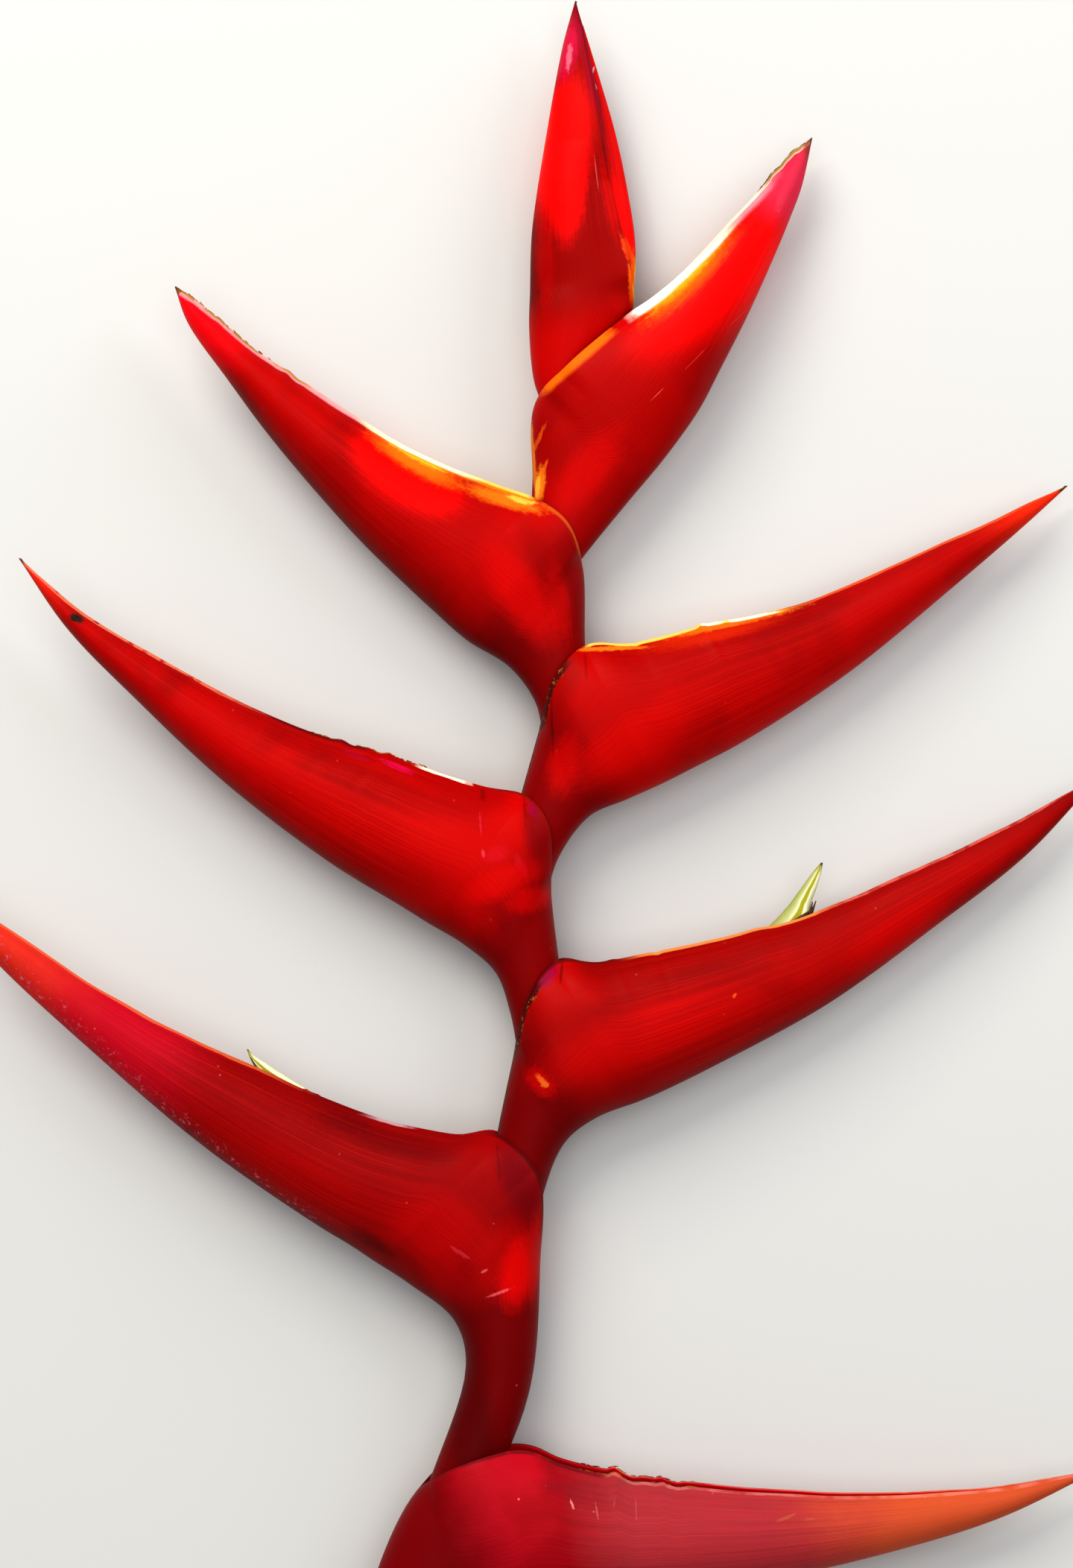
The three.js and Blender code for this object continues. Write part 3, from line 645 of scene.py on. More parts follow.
# Each noise: the size of its spots in millimetres, its detail and its roughness
NOISES = {"speck": (1.3, 4, 0.75), "patchy": (5, 3, 0.5), "cloud": (26, 3, 0.5)}
MOTTLE_MM, FLECK_MM, PIT_MM = 13, 4.5, 10 / 9
VEINS_ACROSS, VEIN_MM = 80, 55
# A layer is a colour, how much of it there is, and the ranges that bound it: a number, where
# the layer starts, and where it is full. "out" is 0 at the lip's corner, 1 at the tip and
# below 0 on the sheath. The last range here keeps a layer off the inner face.
CLOUDS = ("800000", 0.4, [("cloud", 0.5, 0.66)])
INNER_FACE = ("D80A10", 1, [("inside", 0.55, 0.95)])
# Painted glow: a thin yellowish line along the keel, where light shines through the thin keel
# edge
KEEL_GLOW_LINE = ("A44822", 0.35, [("keel_mm", 1.4, 0.3), ("out", -0.25, 0.1),
                              ("patchy", 0.25, 0.65)])
DRY_POINT = ("4A2A14", 0.9, [("out", 0.97, 0.99)])
FRONT = ("inside", 0.9, 0.6)
# A mark is a colour, how much of it there is, its middle, its half length and half width in
# millimetres, and its turn in degrees. Some marks are the bract's own scars and spots, and many
# are painted light and shade, as said at each bract. "deep" and "bright" are the colours of the
# base tone at the keel and towards the lip, which is painted shade and light. "keel" and "neck"
# say how dark the painted shade is towards the keel and on the sheath's neck, and "lip" how much
# darker the cheek is by the lip's corner.
BLADE_LOOKS = {
    "bract_1": {
        "deep": "700200", "bright": "920200", "keel": 0.4, "lip": 0, "neck": 0, "streaks": 0.2,
        "flecks": 0,
        "layers": [
            ("C80200", 0.7, [("out", -0.2, -0.42)]),
            ("900428", 0.8, [("edge_mm", 2, 0.5), ("out", 0.5, 0.66)]),
            ("700010", 0.7, [("edge_mm", 0.5, 0.1), ("out", 0.3, 0.45)]),
        ],
        "marks": [
            # Painted light: the bright red patches are painted glow of light shining through the
            # bract, the pale pink streak by the tip is a painted sheen, and the orange and yellow
            # strokes along the right margin are painted glow through its thin edge. The magenta
            # by the tip is the bract's own.
            ("FF0000", 1, 9.8, 228, 14, 5.6, 84), ("FF0000", 0.9, 11.8, 218, 9, 3, 86),
            ("C80200", 0.35, 6.6, 203, 9, 1.8, 92), ("E40400", 0.5, 20.6, 217, 8, 1.6, 98),
            ("D01048", 0.9, 11, 249.6, 6, 2.6, 80), ("F0A0B4", 0.4, 11.8, 247.6, 2.6, 0.6, 84),
            ("D8A0B0", 0.8, 17, 245.2, 0.8, 0.2, 80), ("D890A8", 0.7, 17.5, 241.6, 0.8, 0.2, 110),
            ("F06060", 0.5, 17.6, 222, 3.4, 0.14, 97), ("F04A10", 0.9, 24.2, 206, 3.4, 0.8, 109),
            ("F06410", 0.9, 25.2, 199.5, 6, 0.7, 92), ("F8B838", 0.9, 25.7, 198.5, 5, 0.35, 92),
        ],
    },
    "bract_2": {
        "deep": "A20200", "bright": "AA0200", "keel": 0.2, "lip": 0, "neck": 0.2, "streaks": 0.2,
        "flecks": 0,
        "layers": [
            ("D42C4C", 0.9, [("out", 0.54, 0.74)]),
            # Painted light: the pink wash along the upper lip is a painted sheen, and the orange
            # band on the sheath's margin and the wide and thin cream bands along the lip are
            # painted glow of light shining through the thin rolled margin.
            ("F0A8B8", 0.6, [("edge_mm", 3.2, 1.4), ("out", 0.44, 0.54), ("out", 0.8, 0.64)]),
            ("F06C08", 0.95, [("edge_mm", 2.6, 1.2), ("out", -0.05, -0.08),
                              ("out", -0.32, -0.26)]),
            ("F8F2E4", 1, [("edge_mm", 2.9, 1.9), ("out", -0.02, 0.03), ("out", 0.56, 0.38),
                           FRONT]),
            ("F0D8C8", 0.9, [("edge_mm", 0.9, 0.4), ("out", 0.3, 0.4), FRONT]),
            ("8E6E24", 0.9, [("edge_mm", 0.6, 0.2), ("out", 0.66, 0.72), ("patchy", 0.36, 0.46)]),
            ("7E3A28", 0.8, [("out", 0.9, 0.95)]),
        ],
        "marks": [
            # Painted light and shade: the bright red patches and the orange and yellow strokes by
            # the lip and along the margin over bract_1 are painted glow of light shining through
            # the bract, the pink streak by the tip is a painted sheen, and the dark patch by the
            # neck is painted shade.
            ("CC0200", 0.7, 15.6, 158.4, 10, 4, 52), ("8E0204", 0.5, 7.4, 171, 7, 2, 62),
            ("FF0000", 1, 43.4, 200.4, 20, 8.8, 44), ("F4700C", 0.9, 37.4, 200.8, 11.5, 3, 47),
            ("FFB424", 0.95, 37, 201.4, 9.5, 1.7, 47), ("E88A1C", 0.7, 4.1, 162, 9, 0.4, 94),
            ("DC5C14", 0.6, 5.4, 166, 3.4, 0.4, 66), ("E8841C", 0.9, 5.6, 156.2, 3.4, 1, 84),
            ("F8B848", 0.8, 5, 155.4, 2.4, 0.5, 86), ("E0641C", 0.7, 6.6, 159.6, 2, 0.3, 72),
            ("7A1030", 0.8, 57.8, 223, 3, 0.4, 56), ("F06880", 0.6, 59.4, 221.6, 7, 1.1, 66),
            ("F06058", 0.5, 30.4, 174.8, 2, 0.12, 44), ("E84038", 0.5, 38.6, 182.4, 3.4, 0.1, 46),
            ("E04038", 0.5, 48.2, 192, 5.5, 0.1, 45),
        ],
    },
    "bract_3": {
        "deep": "820200", "bright": "B00200", "keel": 0.5, "lip": 0.15, "neck": 0.7,
        "streaks": 0.18, "flecks": 0,
        "layers": [
            ("F40418", 0.9, [("out", 0.58, 0.84)]),
            ("C0581C", 0.85, [("edge_mm", 0.9, 0.4), ("out", -0.02, -0.08),
                              ("patchy", 0.3, 0.42)]),
            # Painted light: the orange band by the lip's corner and the yellow and pale rims
            # along the lip are painted glow and highlight of light shining through the thin
            # margin.
            ("F08418", 0.9, [("edge_mm", 2.2, 0.8), ("out", -0.04, 0.02), ("out", 0.41, 0.32)]),
            ("F8CC60", 0.9, [("edge_mm", 0.7, 0.3), ("out", -0.03, 0.03), FRONT]),
            ("F8ECC8", 1, [("edge_mm", 1.3, 0.7), ("out", 0.18, 0.28), ("out", 0.44, 0.36),
                           FRONT]),
            ("F890A4", 0.8, [("edge_mm", 1.3, 0.7), ("out", 0.36, 0.44), FRONT]),
            ("9A7428", 0.85, [("edge_mm", 0.45, 0.15), ("out", 0.44, 0.52),
                              ("patchy", 0.36, 0.46)]),
            ("6E4C20", 0.9, [("out", 0.945, 0.96)]),
        ],
        "marks": [
            # Painted light and shade: the bright red patches and the orange and yellow strokes by
            # the lip are painted glow of light shining through the bract, and the dark patch low
            # on the neck is painted shade.
            ("FF0000", 1, -23, 158, 11, 5.6, -33), ("F4700C", 0.9, -20.8, 160.8, 9, 2.2, -30),
            ("FFB428", 0.95, -20.6, 162, 6, 1, -28), ("F07814", 0.9, -2, 152.7, 7.5, 1.5, -17),
            ("FFC850", 0.8, 1.6, 152.6, 3, 0.7, -14), ("8E0200", 0.5, 5.6, 141, 8, 2.6, 118),
            ("D40200", 0.7, 1.6, 132, 11, 4.5, 125), ("C40200", 0.5, 9.5, 131, 7, 2.2, 100),
        ],
    },
    "bract_4": {
        "deep": "BC0200", "bright": "B00200", "keel": 0, "lip": 0.3, "neck": 0.75, "streaks": 0.2,
        "flecks": 0.05,
        "layers": [
            # Painted light: the yellow, white and orange rims along the lip are painted glow and
            # highlight of light on the thin margin.
            ("F4C458", 1, [("edge_mm", 0.6, 0.25), ("out", -0.03, 0.02), ("out", 0.52, 0.4),
                           FRONT]),
            ("F8F0D8", 0.9, [("edge_mm", 0.8, 0.4), ("out", 0.3, 0.34), ("out", 0.5, 0.44),
                             ("patchy", 0.46, 0.54), FRONT]),
            ("E86030", 0.8, [("edge_mm", 0.5, 0.2), ("out", 0.45, 0.55), FRONT]),
            ("F0340C", 0.7, [("out", 0.7, 0.92)]),
            ("280804", 0.8, [("edge_mm", 2, 1.4), ("out", -0.04, -0.1)]),
            ("B07A30", 0.6, [("edge_mm", 2.2, 1.4), ("out", -0.06, -0.12),
                             ("speck", 0.56, 0.62)]),
        ],
        "marks": [
            # Painted light and shade: the bright red patches and the orange strokes under the lip
            # are painted glow of light shining through the bract, the dark patches are painted
            # shade, and the thin dark lines are painted shadow in creases. The magenta spot is
            # the bract's own.
            ("CC0400", 0.7, 27, 102, 16, 5, 32), ("D00200", 0.55, 10.6, 96, 6, 3, 80),
            ("980200", 0.4, 44.8, 117, 9, 3, 20), ("F07818", 0.9, 20.4, 120.9, 7, 0.5, 2),
            ("F08818", 0.85, 46, 126.5, 13, 0.85, 13), ("E03808", 0.4, 42, 124.6, 14, 2.2, 13),
            ("C81040", 0.6, 4.6, 86, 2.4, 0.8, 110), ("500000", 0.7, 8, 108, 8, 0.25, 92),
            ("600000", 0.35, 15.3, 117, 3.2, 0.35, 94), ("900200", 0.5, 10.4, 113, 7, 2.6, 62),
        ],
    },
    "bract_5": {
        "deep": "960200", "bright": "BA0200", "keel": 0.3, "lip": 0.35, "neck": 0.8,
        "streaks": 0.22, "flecks": 0.1,
        "layers": [
            ("F02C14", 0.7, [("out", 0.82, 0.96)]),
            # Painted highlight: the orange-white and the thin white rims along the lip.
            ("E08060", 0.7, [("edge_mm", 0.5, 0.2), ("out", 0.5, 0.6), ("patchy", 0.4, 0.5)]),
            ("F8E4D0", 0.95, [("edge_mm", 0.45, 0.15), ("out", 0.16, 0.18), ("out", 0.31, 0.26),
                              FRONT]),
            ("5A0A0C", 0.8, [("edge_mm", 0.7, 0.2), ("out", 0.36, 0.4), ("out", 0.56, 0.5)]),
            ("7A1210", 0.8, [("edge_mm", 0.6, 0.2), ("out", 0.13, 0.1)]),
        ],
        "marks": [
            # Painted light and shade: the bright red patches are painted glow of light shining
            # through the bract, and the thin dark line over the stem and the dark patches are
            # painted shadow and shade. The black spot, the magenta patches and the pink scar are
            # the bract's own.
            ("1E1C16", 1, -93.4, 127.4, 1.6, 0.9, -20),
            ("C80A48", 0.8, -24.8, 95.6, 3.4, 0.6, -22),
            ("900A38", 0.4, -33.4, 98, 3.4, 0.5, -20), ("6C0000", 0.5, -6.7, 89.6, 1.4, 0.6, 95),
            ("F0305A", 0.3, -7.1, 83.4, 2.4, 0.2, 94),
            ("F05A70", 0.6, -6.5, 77.2, 0.9, 0.35, 100), ("E02038", 0.25, -3.8, 77, 2.4, 1.5, 20),
            ("E02038", 0.2, 1.6, 74.6, 2.6, 1.1, 110), ("340004", 0.35, 2.3, 86.6, 3.6, 0.35, 93),
            ("B80A60", 0.9, 4.1, 86.2, 1.5, 0.8, 115), ("780006", 0.8, 5, 82, 7, 2.6, 100),
            ("8A0200", 0.5, -29, 91, 13, 3.4, -22), ("D80400", 0.6, -3, 71, 8, 3, 20),
            ("C80400", 0.5, -16, 80, 12, 5, -25), ("B80400", 0.5, -22, 70, 9, 4, -30),
            ("D80000", 0.55, 3.4, 67.4, 4.6, 2.4, 15),
        ],
    },
    "bract_6": {
        "deep": "960204", "bright": "AA0402", "keel": 0.35, "lip": 0.4, "neck": 0.9,
        "streaks": 0.22, "flecks": 0.15,
        "layers": [
            # Painted light: the orange and pinkish rims along the lip are painted glow of light
            # on the thin margin.
            ("E8904C", 0.85, [("edge_mm", 0.5, 0.2), ("out", 0.2, 0.3), ("out", 0.6, 0.5),
                              FRONT]),
            ("5C0C0C", 0.8, [("edge_mm", 0.7, 0.2), ("out", 0.26, 0.18)]),
            ("E88070", 0.55, [("edge_mm", 0.4, 0.15), ("out", 0.5, 0.6), ("patchy", 0.3, 0.6),
                              FRONT]),
            ("280804", 0.8, [("edge_mm", 2, 1.4), ("out", -0.04, -0.1)]),
            ("B07A30", 0.6, [("edge_mm", 2.2, 1.4), ("out", -0.06, -0.12),
                             ("speck", 0.56, 0.62)]),
        ],
        "marks": [
            # Painted light and shade: the bright red patches are painted glow of light shining
            # through the bract, and the long dark patches and the thin dark line by the neck are
            # painted shadow of folds. The orange scars and the magenta patch are the bract's own.
            ("C00402", 0.7, 5.6, 28.6, 3.6, 2, -45), ("E86A20", 1, 5.9, 28.9, 1.7, 0.6, -48),
            ("E87428", 0.9, 6.6, 28.1, 0.8, 0.7, 20), ("8A0844", 0.7, 7, 50.8, 3, 1.3, 50),
            ("F07030", 0.9, 46.9, 47, 0.6, 0.3, 60), ("7A0204", 0.45, 39, 49.6, 14, 2.6, 14),
            ("D00402", 0.5, 81.6, 59.5, 12, 4, 34), ("780204", 0.35, 42, 46, 10, 1, 24),
            ("D00402", 0.5, 28, 39, 22, 6, 22), ("340004", 0.5, 10.1, 52, 2.6, 0.3, 85),
        ],
    },
    "bract_7": {
        "deep": "800204", "bright": "940204", "keel": 0.35, "lip": 0.3, "neck": 0.9,
        "streaks": 0.26, "flecks": 0.4,
        "layers": [
            ("D01030", 0.6, [("out", 0.5, 0.66)]),
            ("E84820", 0.5, [("out", 0.68, 0.86)]),
            # Painted light: the orange and the white-pink rims along the lip are painted glow and
            # highlight of light on the thin margin.
            ("E07848", 0.55, [("edge_mm", 0.4, 0.12), ("out", 0.4, 0.5), FRONT]),
            ("E0C8D0", 0.5, [("edge_mm", 0.45, 0.2), ("out", 0.25, 0.27), ("out", 0.34, 0.31),
                             FRONT]),
            ("4C0608", 0.8, [("edge_mm", 0.7, 0.2), ("out", 0.06, 0)]),
            ("D86A84", 0.7, [("speck", 0.56, 0.64), ("keel_mm", 8, 5), ("keel_mm", 1.5, 3),
                             ("out", 0.25, 0.4)]),
            ("2E0408", 0.6, [("speck", 0.4, 0.6), ("keel_mm", 3.5, 2), ("out", 0.05, 0.3),
                             ("out", 0.8, 0.6)]),
        ],
        "marks": [
            # Painted light and shade: the bright red patches are painted glow of light shining
            # through the bract, the dark patch low on the neck and the dark patch beside the
            # crease are painted shade, and the thin dark line below the lip's corner is a painted
            # shadow in a crease.
            ("C40402", 0.5, -3, -9, 9, 5, 60), ("EC0400", 0.65, 1, -12, 7, 3.6, 78),
            ("560208", 0.55, -35.6, 19.6, 6.5, 1.6, -16), ("BC0204", 0.6, -16, -2, 11, 6.5, -20),
            ("B00204", 0.5, -15, -12, 8, 4, -60), ("B80404", 0.7, 4.6, -8, 9, 1.4, 88),
            ("680206", 0.6, -24, 15.4, 10, 2.4, -12), ("640206", 0.6, -38.4, 24.6, 8, 2.4, -28),
            ("4E0206", 0.7, -9.6, -44, 22, 5, 96), ("F07078", 0.5, -3, -16.2, 2.8, 0.3, 20),
            ("F07078", 0.5, -6.3, -11.5, 0.8, 0.3, 30),
            ("E04858", 0.3, -11.4, -7.6, 2.4, 0.4, -34),
            ("500206", 0.7, -30.6, -5.5, 5, 1.5, -32), ("C40402", 0.25, -46, 8, 24, 5, -28),
            ("340004", 0.35, -3.3, 11.4, 4, 0.35, 95), ("700410", 0.8, 0.8, 8, 8, 3.4, 108),
        ],
    },
    "bract_8": {
        "deep": "800814", "bright": "B00C20", "keel": 0.4, "lip": 0.4, "neck": 0.9,
        "streaks": 0.22, "flecks": 0.6,
        "layers": [
            ("A83840", 0.8, [("out", 0.1, 0.36)]),
            ("D0602C", 0.7, [("out", 0.5, 0.72)]),
            ("601018", 0.8, [("edge_mm", 0.7, 0.3), ("patchy", 0.35, 0.5), ("out", 0.3, 0.2)]),
            ("F4B0A8", 0.25, [("edge_mm", 0.5, 0.2), ("out", 0.24, 0.3), ("patchy", 0.3, 0.6),
                              FRONT]),
            # Painted light: the inner face is lighter here, against the shade inside the bract
            ("E81020", 1, [("inside", 0.55, 0.95)]),
        ],
        "marks": [
            ("F0A098", 0.7, 12.3, -60.9, 1, 0.22, 112), ("6C1018", 0.5, 20, -58.6, 13, 1.8, -6),
            ("F0A8A0", 0.4, 17.6, -62.4, 1.8, 0.16, 100),
            ("E88078", 0.3, 21.4, -60.8, 1.2, 0.16, 80), ("F0A8A0", 0.4, 26, -62.4, 2, 0.16, 92),
            ("E0C060", 0.4, 58, -64.6, 2.2, 0.35, 20), ("E0C060", 0.3, 63, -65, 1.2, 0.25, 8),
            ("501018", 0.7, 31, -58.6, 7, 1.2, -14), ("601418", 0.6, 52, -62.6, 5, 0.9, -6),
            ("F00A10", 0.95, 22, -55.4, 1.6, 0.7, -30), ("3C2410", 0.6, 24, -57.4, 4, 0.7, -18),
        ],
    },
}


def bract_skin(name, look):
    """The skin of one bract, painted by its look."""
    skin = bare_material(name)
    where = add(skin, "TexCoord").outputs["Object"]
    mottle = add(skin, "TexNoise", {
        "Vector": where, "Scale": 1000 / MOTTLE_MM, "Detail": 5.0, "Roughness": 0.62})
    wandering = add(skin, "MapRange", {
        "Value": mottle, "From Min": 0.25, "From Max": 0.75, "To Min": -1.0, "To Max": 1.0})
    numbers = {key: add(skin, "TexNoise", {
        "Vector": where, "Scale": 1000 / spot_mm, "Detail": detail, "Roughness": roughness,
    }) for key, (spot_mm, detail, roughness) in NOISES.items()}
    for key, amount in WANDERS.items():
        plain = add(skin, "Attribute", attribute_name=key).outputs["Fac"]
        numbers[key] = add(skin, "Math", [wandering, amount, plain], operation="MULTIPLY_ADD")
    across, along = (add(skin, "Attribute", attribute_name=key).outputs["Fac"]
                     for key in ("across", "along_mm"))
    vein_map = add(skin, "Mapping", {
        "Vector": add(skin, "CombineXYZ", [across, along]),
        "Scale": (VEINS_ACROSS, 1 / VEIN_MM, 1)})
    veins = add(skin, "TexNoise", {
        "Vector": vein_map, "Scale": 1.0, "Detail": 2.0, "Roughness": 0.6})
    # Painted shade and light: the base tone runs from the look's "deep" colour at the keel to its
    # "bright" one halfway across, for the shading of the cheek as it turns from the light. On
    # some bracts it is lighter at the keel, to even out the cheek's own shading.
    keel_to_lip_shade = add(skin, "MapRange", {
        "Value": numbers["across"], "From Min": 0.05, "From Max": 0.55,
    }, interpolation_type="SMOOTHSTEP")
    shade = add(skin, "Mix", {
        0: keel_to_lip_shade, 6: linear(look["deep"]), 7: linear(look["bright"])}, data_type="RGBA")

    def masks(layers):
        """The colour and the mask of each layer."""
        for colour, amount, ranges in layers:
            for key, start, full in ranges:
                bound = add(skin, "MapRange", {
                    "Value": numbers[key], "From Min": start, "From Max": full,
                }, interpolation_type="SMOOTHSTEP")
                amount = add(skin, "Math", [amount, bound], operation="MULTIPLY")
            yield colour, amount

    marks = []
    for colour, strength, x, y, length, width, turn in look["marks"]:
        placed = add(skin, "Mapping", {
            "Vector": where, "Location": (x * MM, y * MM, 0),
            "Rotation": (0, 0, math.radians(turn)), "Scale": (length * MM, width * MM, 1),
        }, vector_type="TEXTURE")
        reach = add(skin, "VectorMath", [placed], operation="LENGTH")
        # A wide mark has a soft border, and a narrow one is frayed along the veins
        fray, comb = min(1.7, 2 / width), min(0.8, 1.5 / width)
        border, softness = 1 + (fray + comb) / 2, min(0.55, 0.2 + 0.25 * width)
        ragged = add(skin, "Math", [numbers["speck"], fray, reach], operation="MULTIPLY_ADD")
        combed = add(skin, "Math", [veins, comb, ragged], operation="MULTIPLY_ADD")
        marks.append((colour, add(skin, "MapRange", {
            "Value": combed, "From Min": border + softness, "From Max": border - softness,
            "To Max": strength,
        }, interpolation_type="SMOOTHSTEP")))
    # Dark streaks and bright fibres between the veins, fainter near the stem
    on_blade = add(skin, "MapRange", {
        "Value": numbers["out"], "From Min": 0.0, "From Max": 0.15, "To Min": 0.3})
    dark_vein = add(skin, "MapRange", {
        "Value": veins, "From Min": 0.45, "From Max": 0.7, "To Max": look["streaks"]})
    streak = add(skin, "Math", [dark_vein, on_blade], operation="MULTIPLY")
    past_corner = add(skin, "MapRange", {
        "Value": numbers["out"], "From Min": 0.1, "From Max": 0.3, "To Max": look["streaks"] / 2})
    fibre = add(skin, "MapRange", {
        "Value": veins, "From Min": 0.46, "From Max": 0.3, "To Max": past_corner})
    # Pale flecks at some of the pores
    pores = add(skin, "TexVoronoi", {"Vector": where, "Scale": 1000 / FLECK_MM})
    near_pore = add(skin, "MapRange", {
        "Value": pores, "From Min": 0.07, "From Max": 0.03, "To Max": look["flecks"]})
    rare = add(skin, "MapRange", {
        "Value": numbers["patchy"], "From Min": 0.5, "From Max": 0.56})
    fleck = add(skin, "Math", [near_pore, rare], operation="MULTIPLY")
    # Painted shade: darker towards the keel, and on the sheath's neck in the clasp of the bract
    # below. The lip layer darkens the cheek by the lip's corner.
    keel_shade = ("500002", look["keel"], [("keel_mm", 6.5, 1)])
    neck_shade = ("6C0004", look["neck"], [("out", -0.08, -0.3)])
    lip_tint = ("500002", look["lip"], [("across", 0.5, 0.95), ("out", 0, 0.12)])
    for colour, amount in (*masks([CLOUDS, keel_shade, neck_shade, lip_tint, INNER_FACE]), *marks,
                           *masks(look["layers"]), ("540002", streak), ("FF2A14", fibre),
                           *masks([KEEL_GLOW_LINE, DRY_POINT]), ("F09080", fleck)):
        shade = add(skin, "Mix", {0: amount, 6: shade, 7: linear(colour)}, data_type="RGBA")
    pits = add(skin, "TexNoise", {"Vector": where, "Scale": 1000 / PIT_MM, "Detail": 3.0})
    grain = add(skin, "Math", [pits, 0.25, veins], operation="MULTIPLY_ADD")
    relief = add(skin, "Bump", {"Height": grain, "Strength": 0.25, "Distance": 0.3 * MM})
    gloss = add(skin, "MapRange", {"Value": mottle, "To Min": 0.36, "To Max": 0.52})
    finish_material(skin, add(skin, "BsdfPrincipled", {
        "Base Color": shade, "Roughness": gloss, "IOR": 1.42, "Specular IOR Level": 0.07,
        "Normal": relief, "Subsurface Weight": 0.15, "Subsurface Radius": (1.0, 0.1, 0.06),
        "Subsurface Scale": 2.5 * MM,
    }))
    return skin


for number, bract in enumerate(BRACTS):
    rings, numbers, tip = bract_mesh(bract, 10 * number)
    points = np.vstack([rings.reshape(-1, 3), tip])
    faces = facing_out(points, bract_faces(*rings.shape[:2]))
    values = {key: np.append(value, value[-1, 0]) for key, value in numbers.items()}
    values["edge_mm"][-1] = values["keel_mm"][-1] = 1
    skin = bract_skin("living_" + bract["name"] + "_skin", BLADE_LOOKS[bract["name"]])
    blade = mesh_object(bract["name"] + "_blade", points, faces, skin, values)
    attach(blade, "root")
    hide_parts(bract["name"])

# The dry edges: where a lip has died back it frays into small curled scales of papery skin.
# For each bract: how far out along the lips they start and end, and the share that is left.
DRY_EDGES = {"bract_2": (0.64, 0.99, 0.8), "bract_3": (0.6, 0.97, 0.5),
             "bract_5": (0.29, 0.46, 0.55), "bract_8": (0.2, 0.42, 0.5)}
SCALE_SIZES = {"Spacing": 0.42, "Length": 1, "Width": 0.38, "Thickness": 0.1, "Curl": 0.12}
SCALE_SPREAD, SCALE_LEAN = 0.2, 0.16
LIP_ROW, FAR_LIP_ROW = -2, 2 * CHEEK_POINTS


def fraying_tree():
    """Sets curled scales along paths, each turned a little off the path by chance."""
    tree, sizes = new_tree("dry_scales_along_lip", (
        ("Spacing", "Float"), ("Length", "Float"), ("Width", "Float"), ("Thickness", "Float"),
        ("Curl", "Float"), ("Share Left", "Float"), ("Spread", "Float"), ("Seed", "Int")))
    slab = add(tree, "GeometryNodeMeshCube", {
        "Size": (1, 1, 1), "Vertices X": 5, "Vertices Y": 3, "Vertices Z": 2})
    place = add(tree, "SeparateXYZ", [add(tree, "GeometryNodeInputPosition")]).outputs
    share = add(tree, "Math", [place["X"], 0.5], operation="ADD")
    tapered = add(tree, "MapRange", {"Value": share, "To Min": 1.0, "To Max": 0.2})
    breadth = add(tree, "Math", [tapered, sizes["Width"]], operation="MULTIPLY")
    squared = add(tree, "Math", [share, share], operation="MULTIPLY")
    curled = add(tree, "Math", [squared, sizes["Curl"]], operation="MULTIPLY")
    scale = add(tree, "GeometryNodeSetPosition", {
        "Geometry": slab,
        "Position": add(tree, "CombineXYZ", [
            add(tree, "Math", [share, sizes["Length"]], operation="MULTIPLY"),
            add(tree, "Math", [place["Y"], breadth], operation="MULTIPLY"),
            add(tree, "Math", [place["Z"], sizes["Thickness"], curled],
                operation="MULTIPLY_ADD")]),
    })
    line = add(tree, "GeometryNodeMeshToCurve", {"Mesh": sizes["Path"]})
    dots = add(tree, "GeometryNodeResampleCurve", {
        "Curve": line, "Length": sizes["Spacing"]}, mode="LENGTH")
    left = add(tree, "FunctionNodeRandomValue", {
        "Probability": sizes["Share Left"], "Seed": sizes["Seed"]}, data_type="BOOLEAN")
    spread = add(tree, "FunctionNodeRandomValue", {
        0: (-1, -1, -1), 1: (1, 1, 1), "Seed": sizes["Seed"]}, data_type="FLOAT_VECTOR")
    size = add(tree, "FunctionNodeRandomValue", {
        2: 0.45, 3: 1.15, "Seed": sizes["Seed"]}, data_type="FLOAT")
    leaning = add(tree, "VectorMath", {0: spread, "Scale": sizes["Spread"]}, operation="SCALE")
    outward = add(tree, "GeometryNodeInputNamedAttribute", {"Name": "outward"},
                  data_type="FLOAT_VECTOR")
    ahead = add(tree, "VectorMath", [add(tree, "GeometryNodeInputTangent"), outward],
                operation="ADD")
    aimed = add(tree, "FunctionNodeAlignRotationToVector", {
        "Vector": add(tree, "VectorMath", [ahead, leaning], operation="ADD")}, axis="X")
    placed = add(tree, "GeometryNodeInstanceOnPoints", {
        "Points": dots, "Selection": left, "Instance": scale, "Rotation": aimed, "Scale": size})
    end_tree(tree, placed, sizes["Skin"])
    return tree


# Dead bract skin: thin, dry and papery, straw to dark brown, with no shine left in it.
DRY_BLOTCH_MM = 2.5
dry_skin = bare_material("dry_papery_bract_skin")
dry_place = add(dry_skin, "TexCoord").outputs["Object"]
dry_tone = add(dry_skin, "TexNoise", {
    "Vector": dry_place, "Scale": 1000 / DRY_BLOTCH_MM, "Detail": 3.0})
dry_blotch = add(dry_skin, "MapRange", {
    "Value": dry_tone, "From Min": 0.38, "From Max": 0.62}, interpolation_type="SMOOTHSTEP")
dry_shade = add(dry_skin, "Mix", {
    0: dry_blotch, 6: linear("6A3414"), 7: linear("9A742C")}, data_type="RGBA")
dry_grain = add(dry_skin, "Bump", {"Height": dry_tone, "Strength": 0.3, "Distance": 0.2 * MM})
finish_material(dry_skin, add(dry_skin, "BsdfPrincipled", {
    "Base Color": dry_shade, "Roughness": 0.8, "IOR": 1.45, "Specular IOR Level": 0.2,
    "Normal": dry_grain,
}))

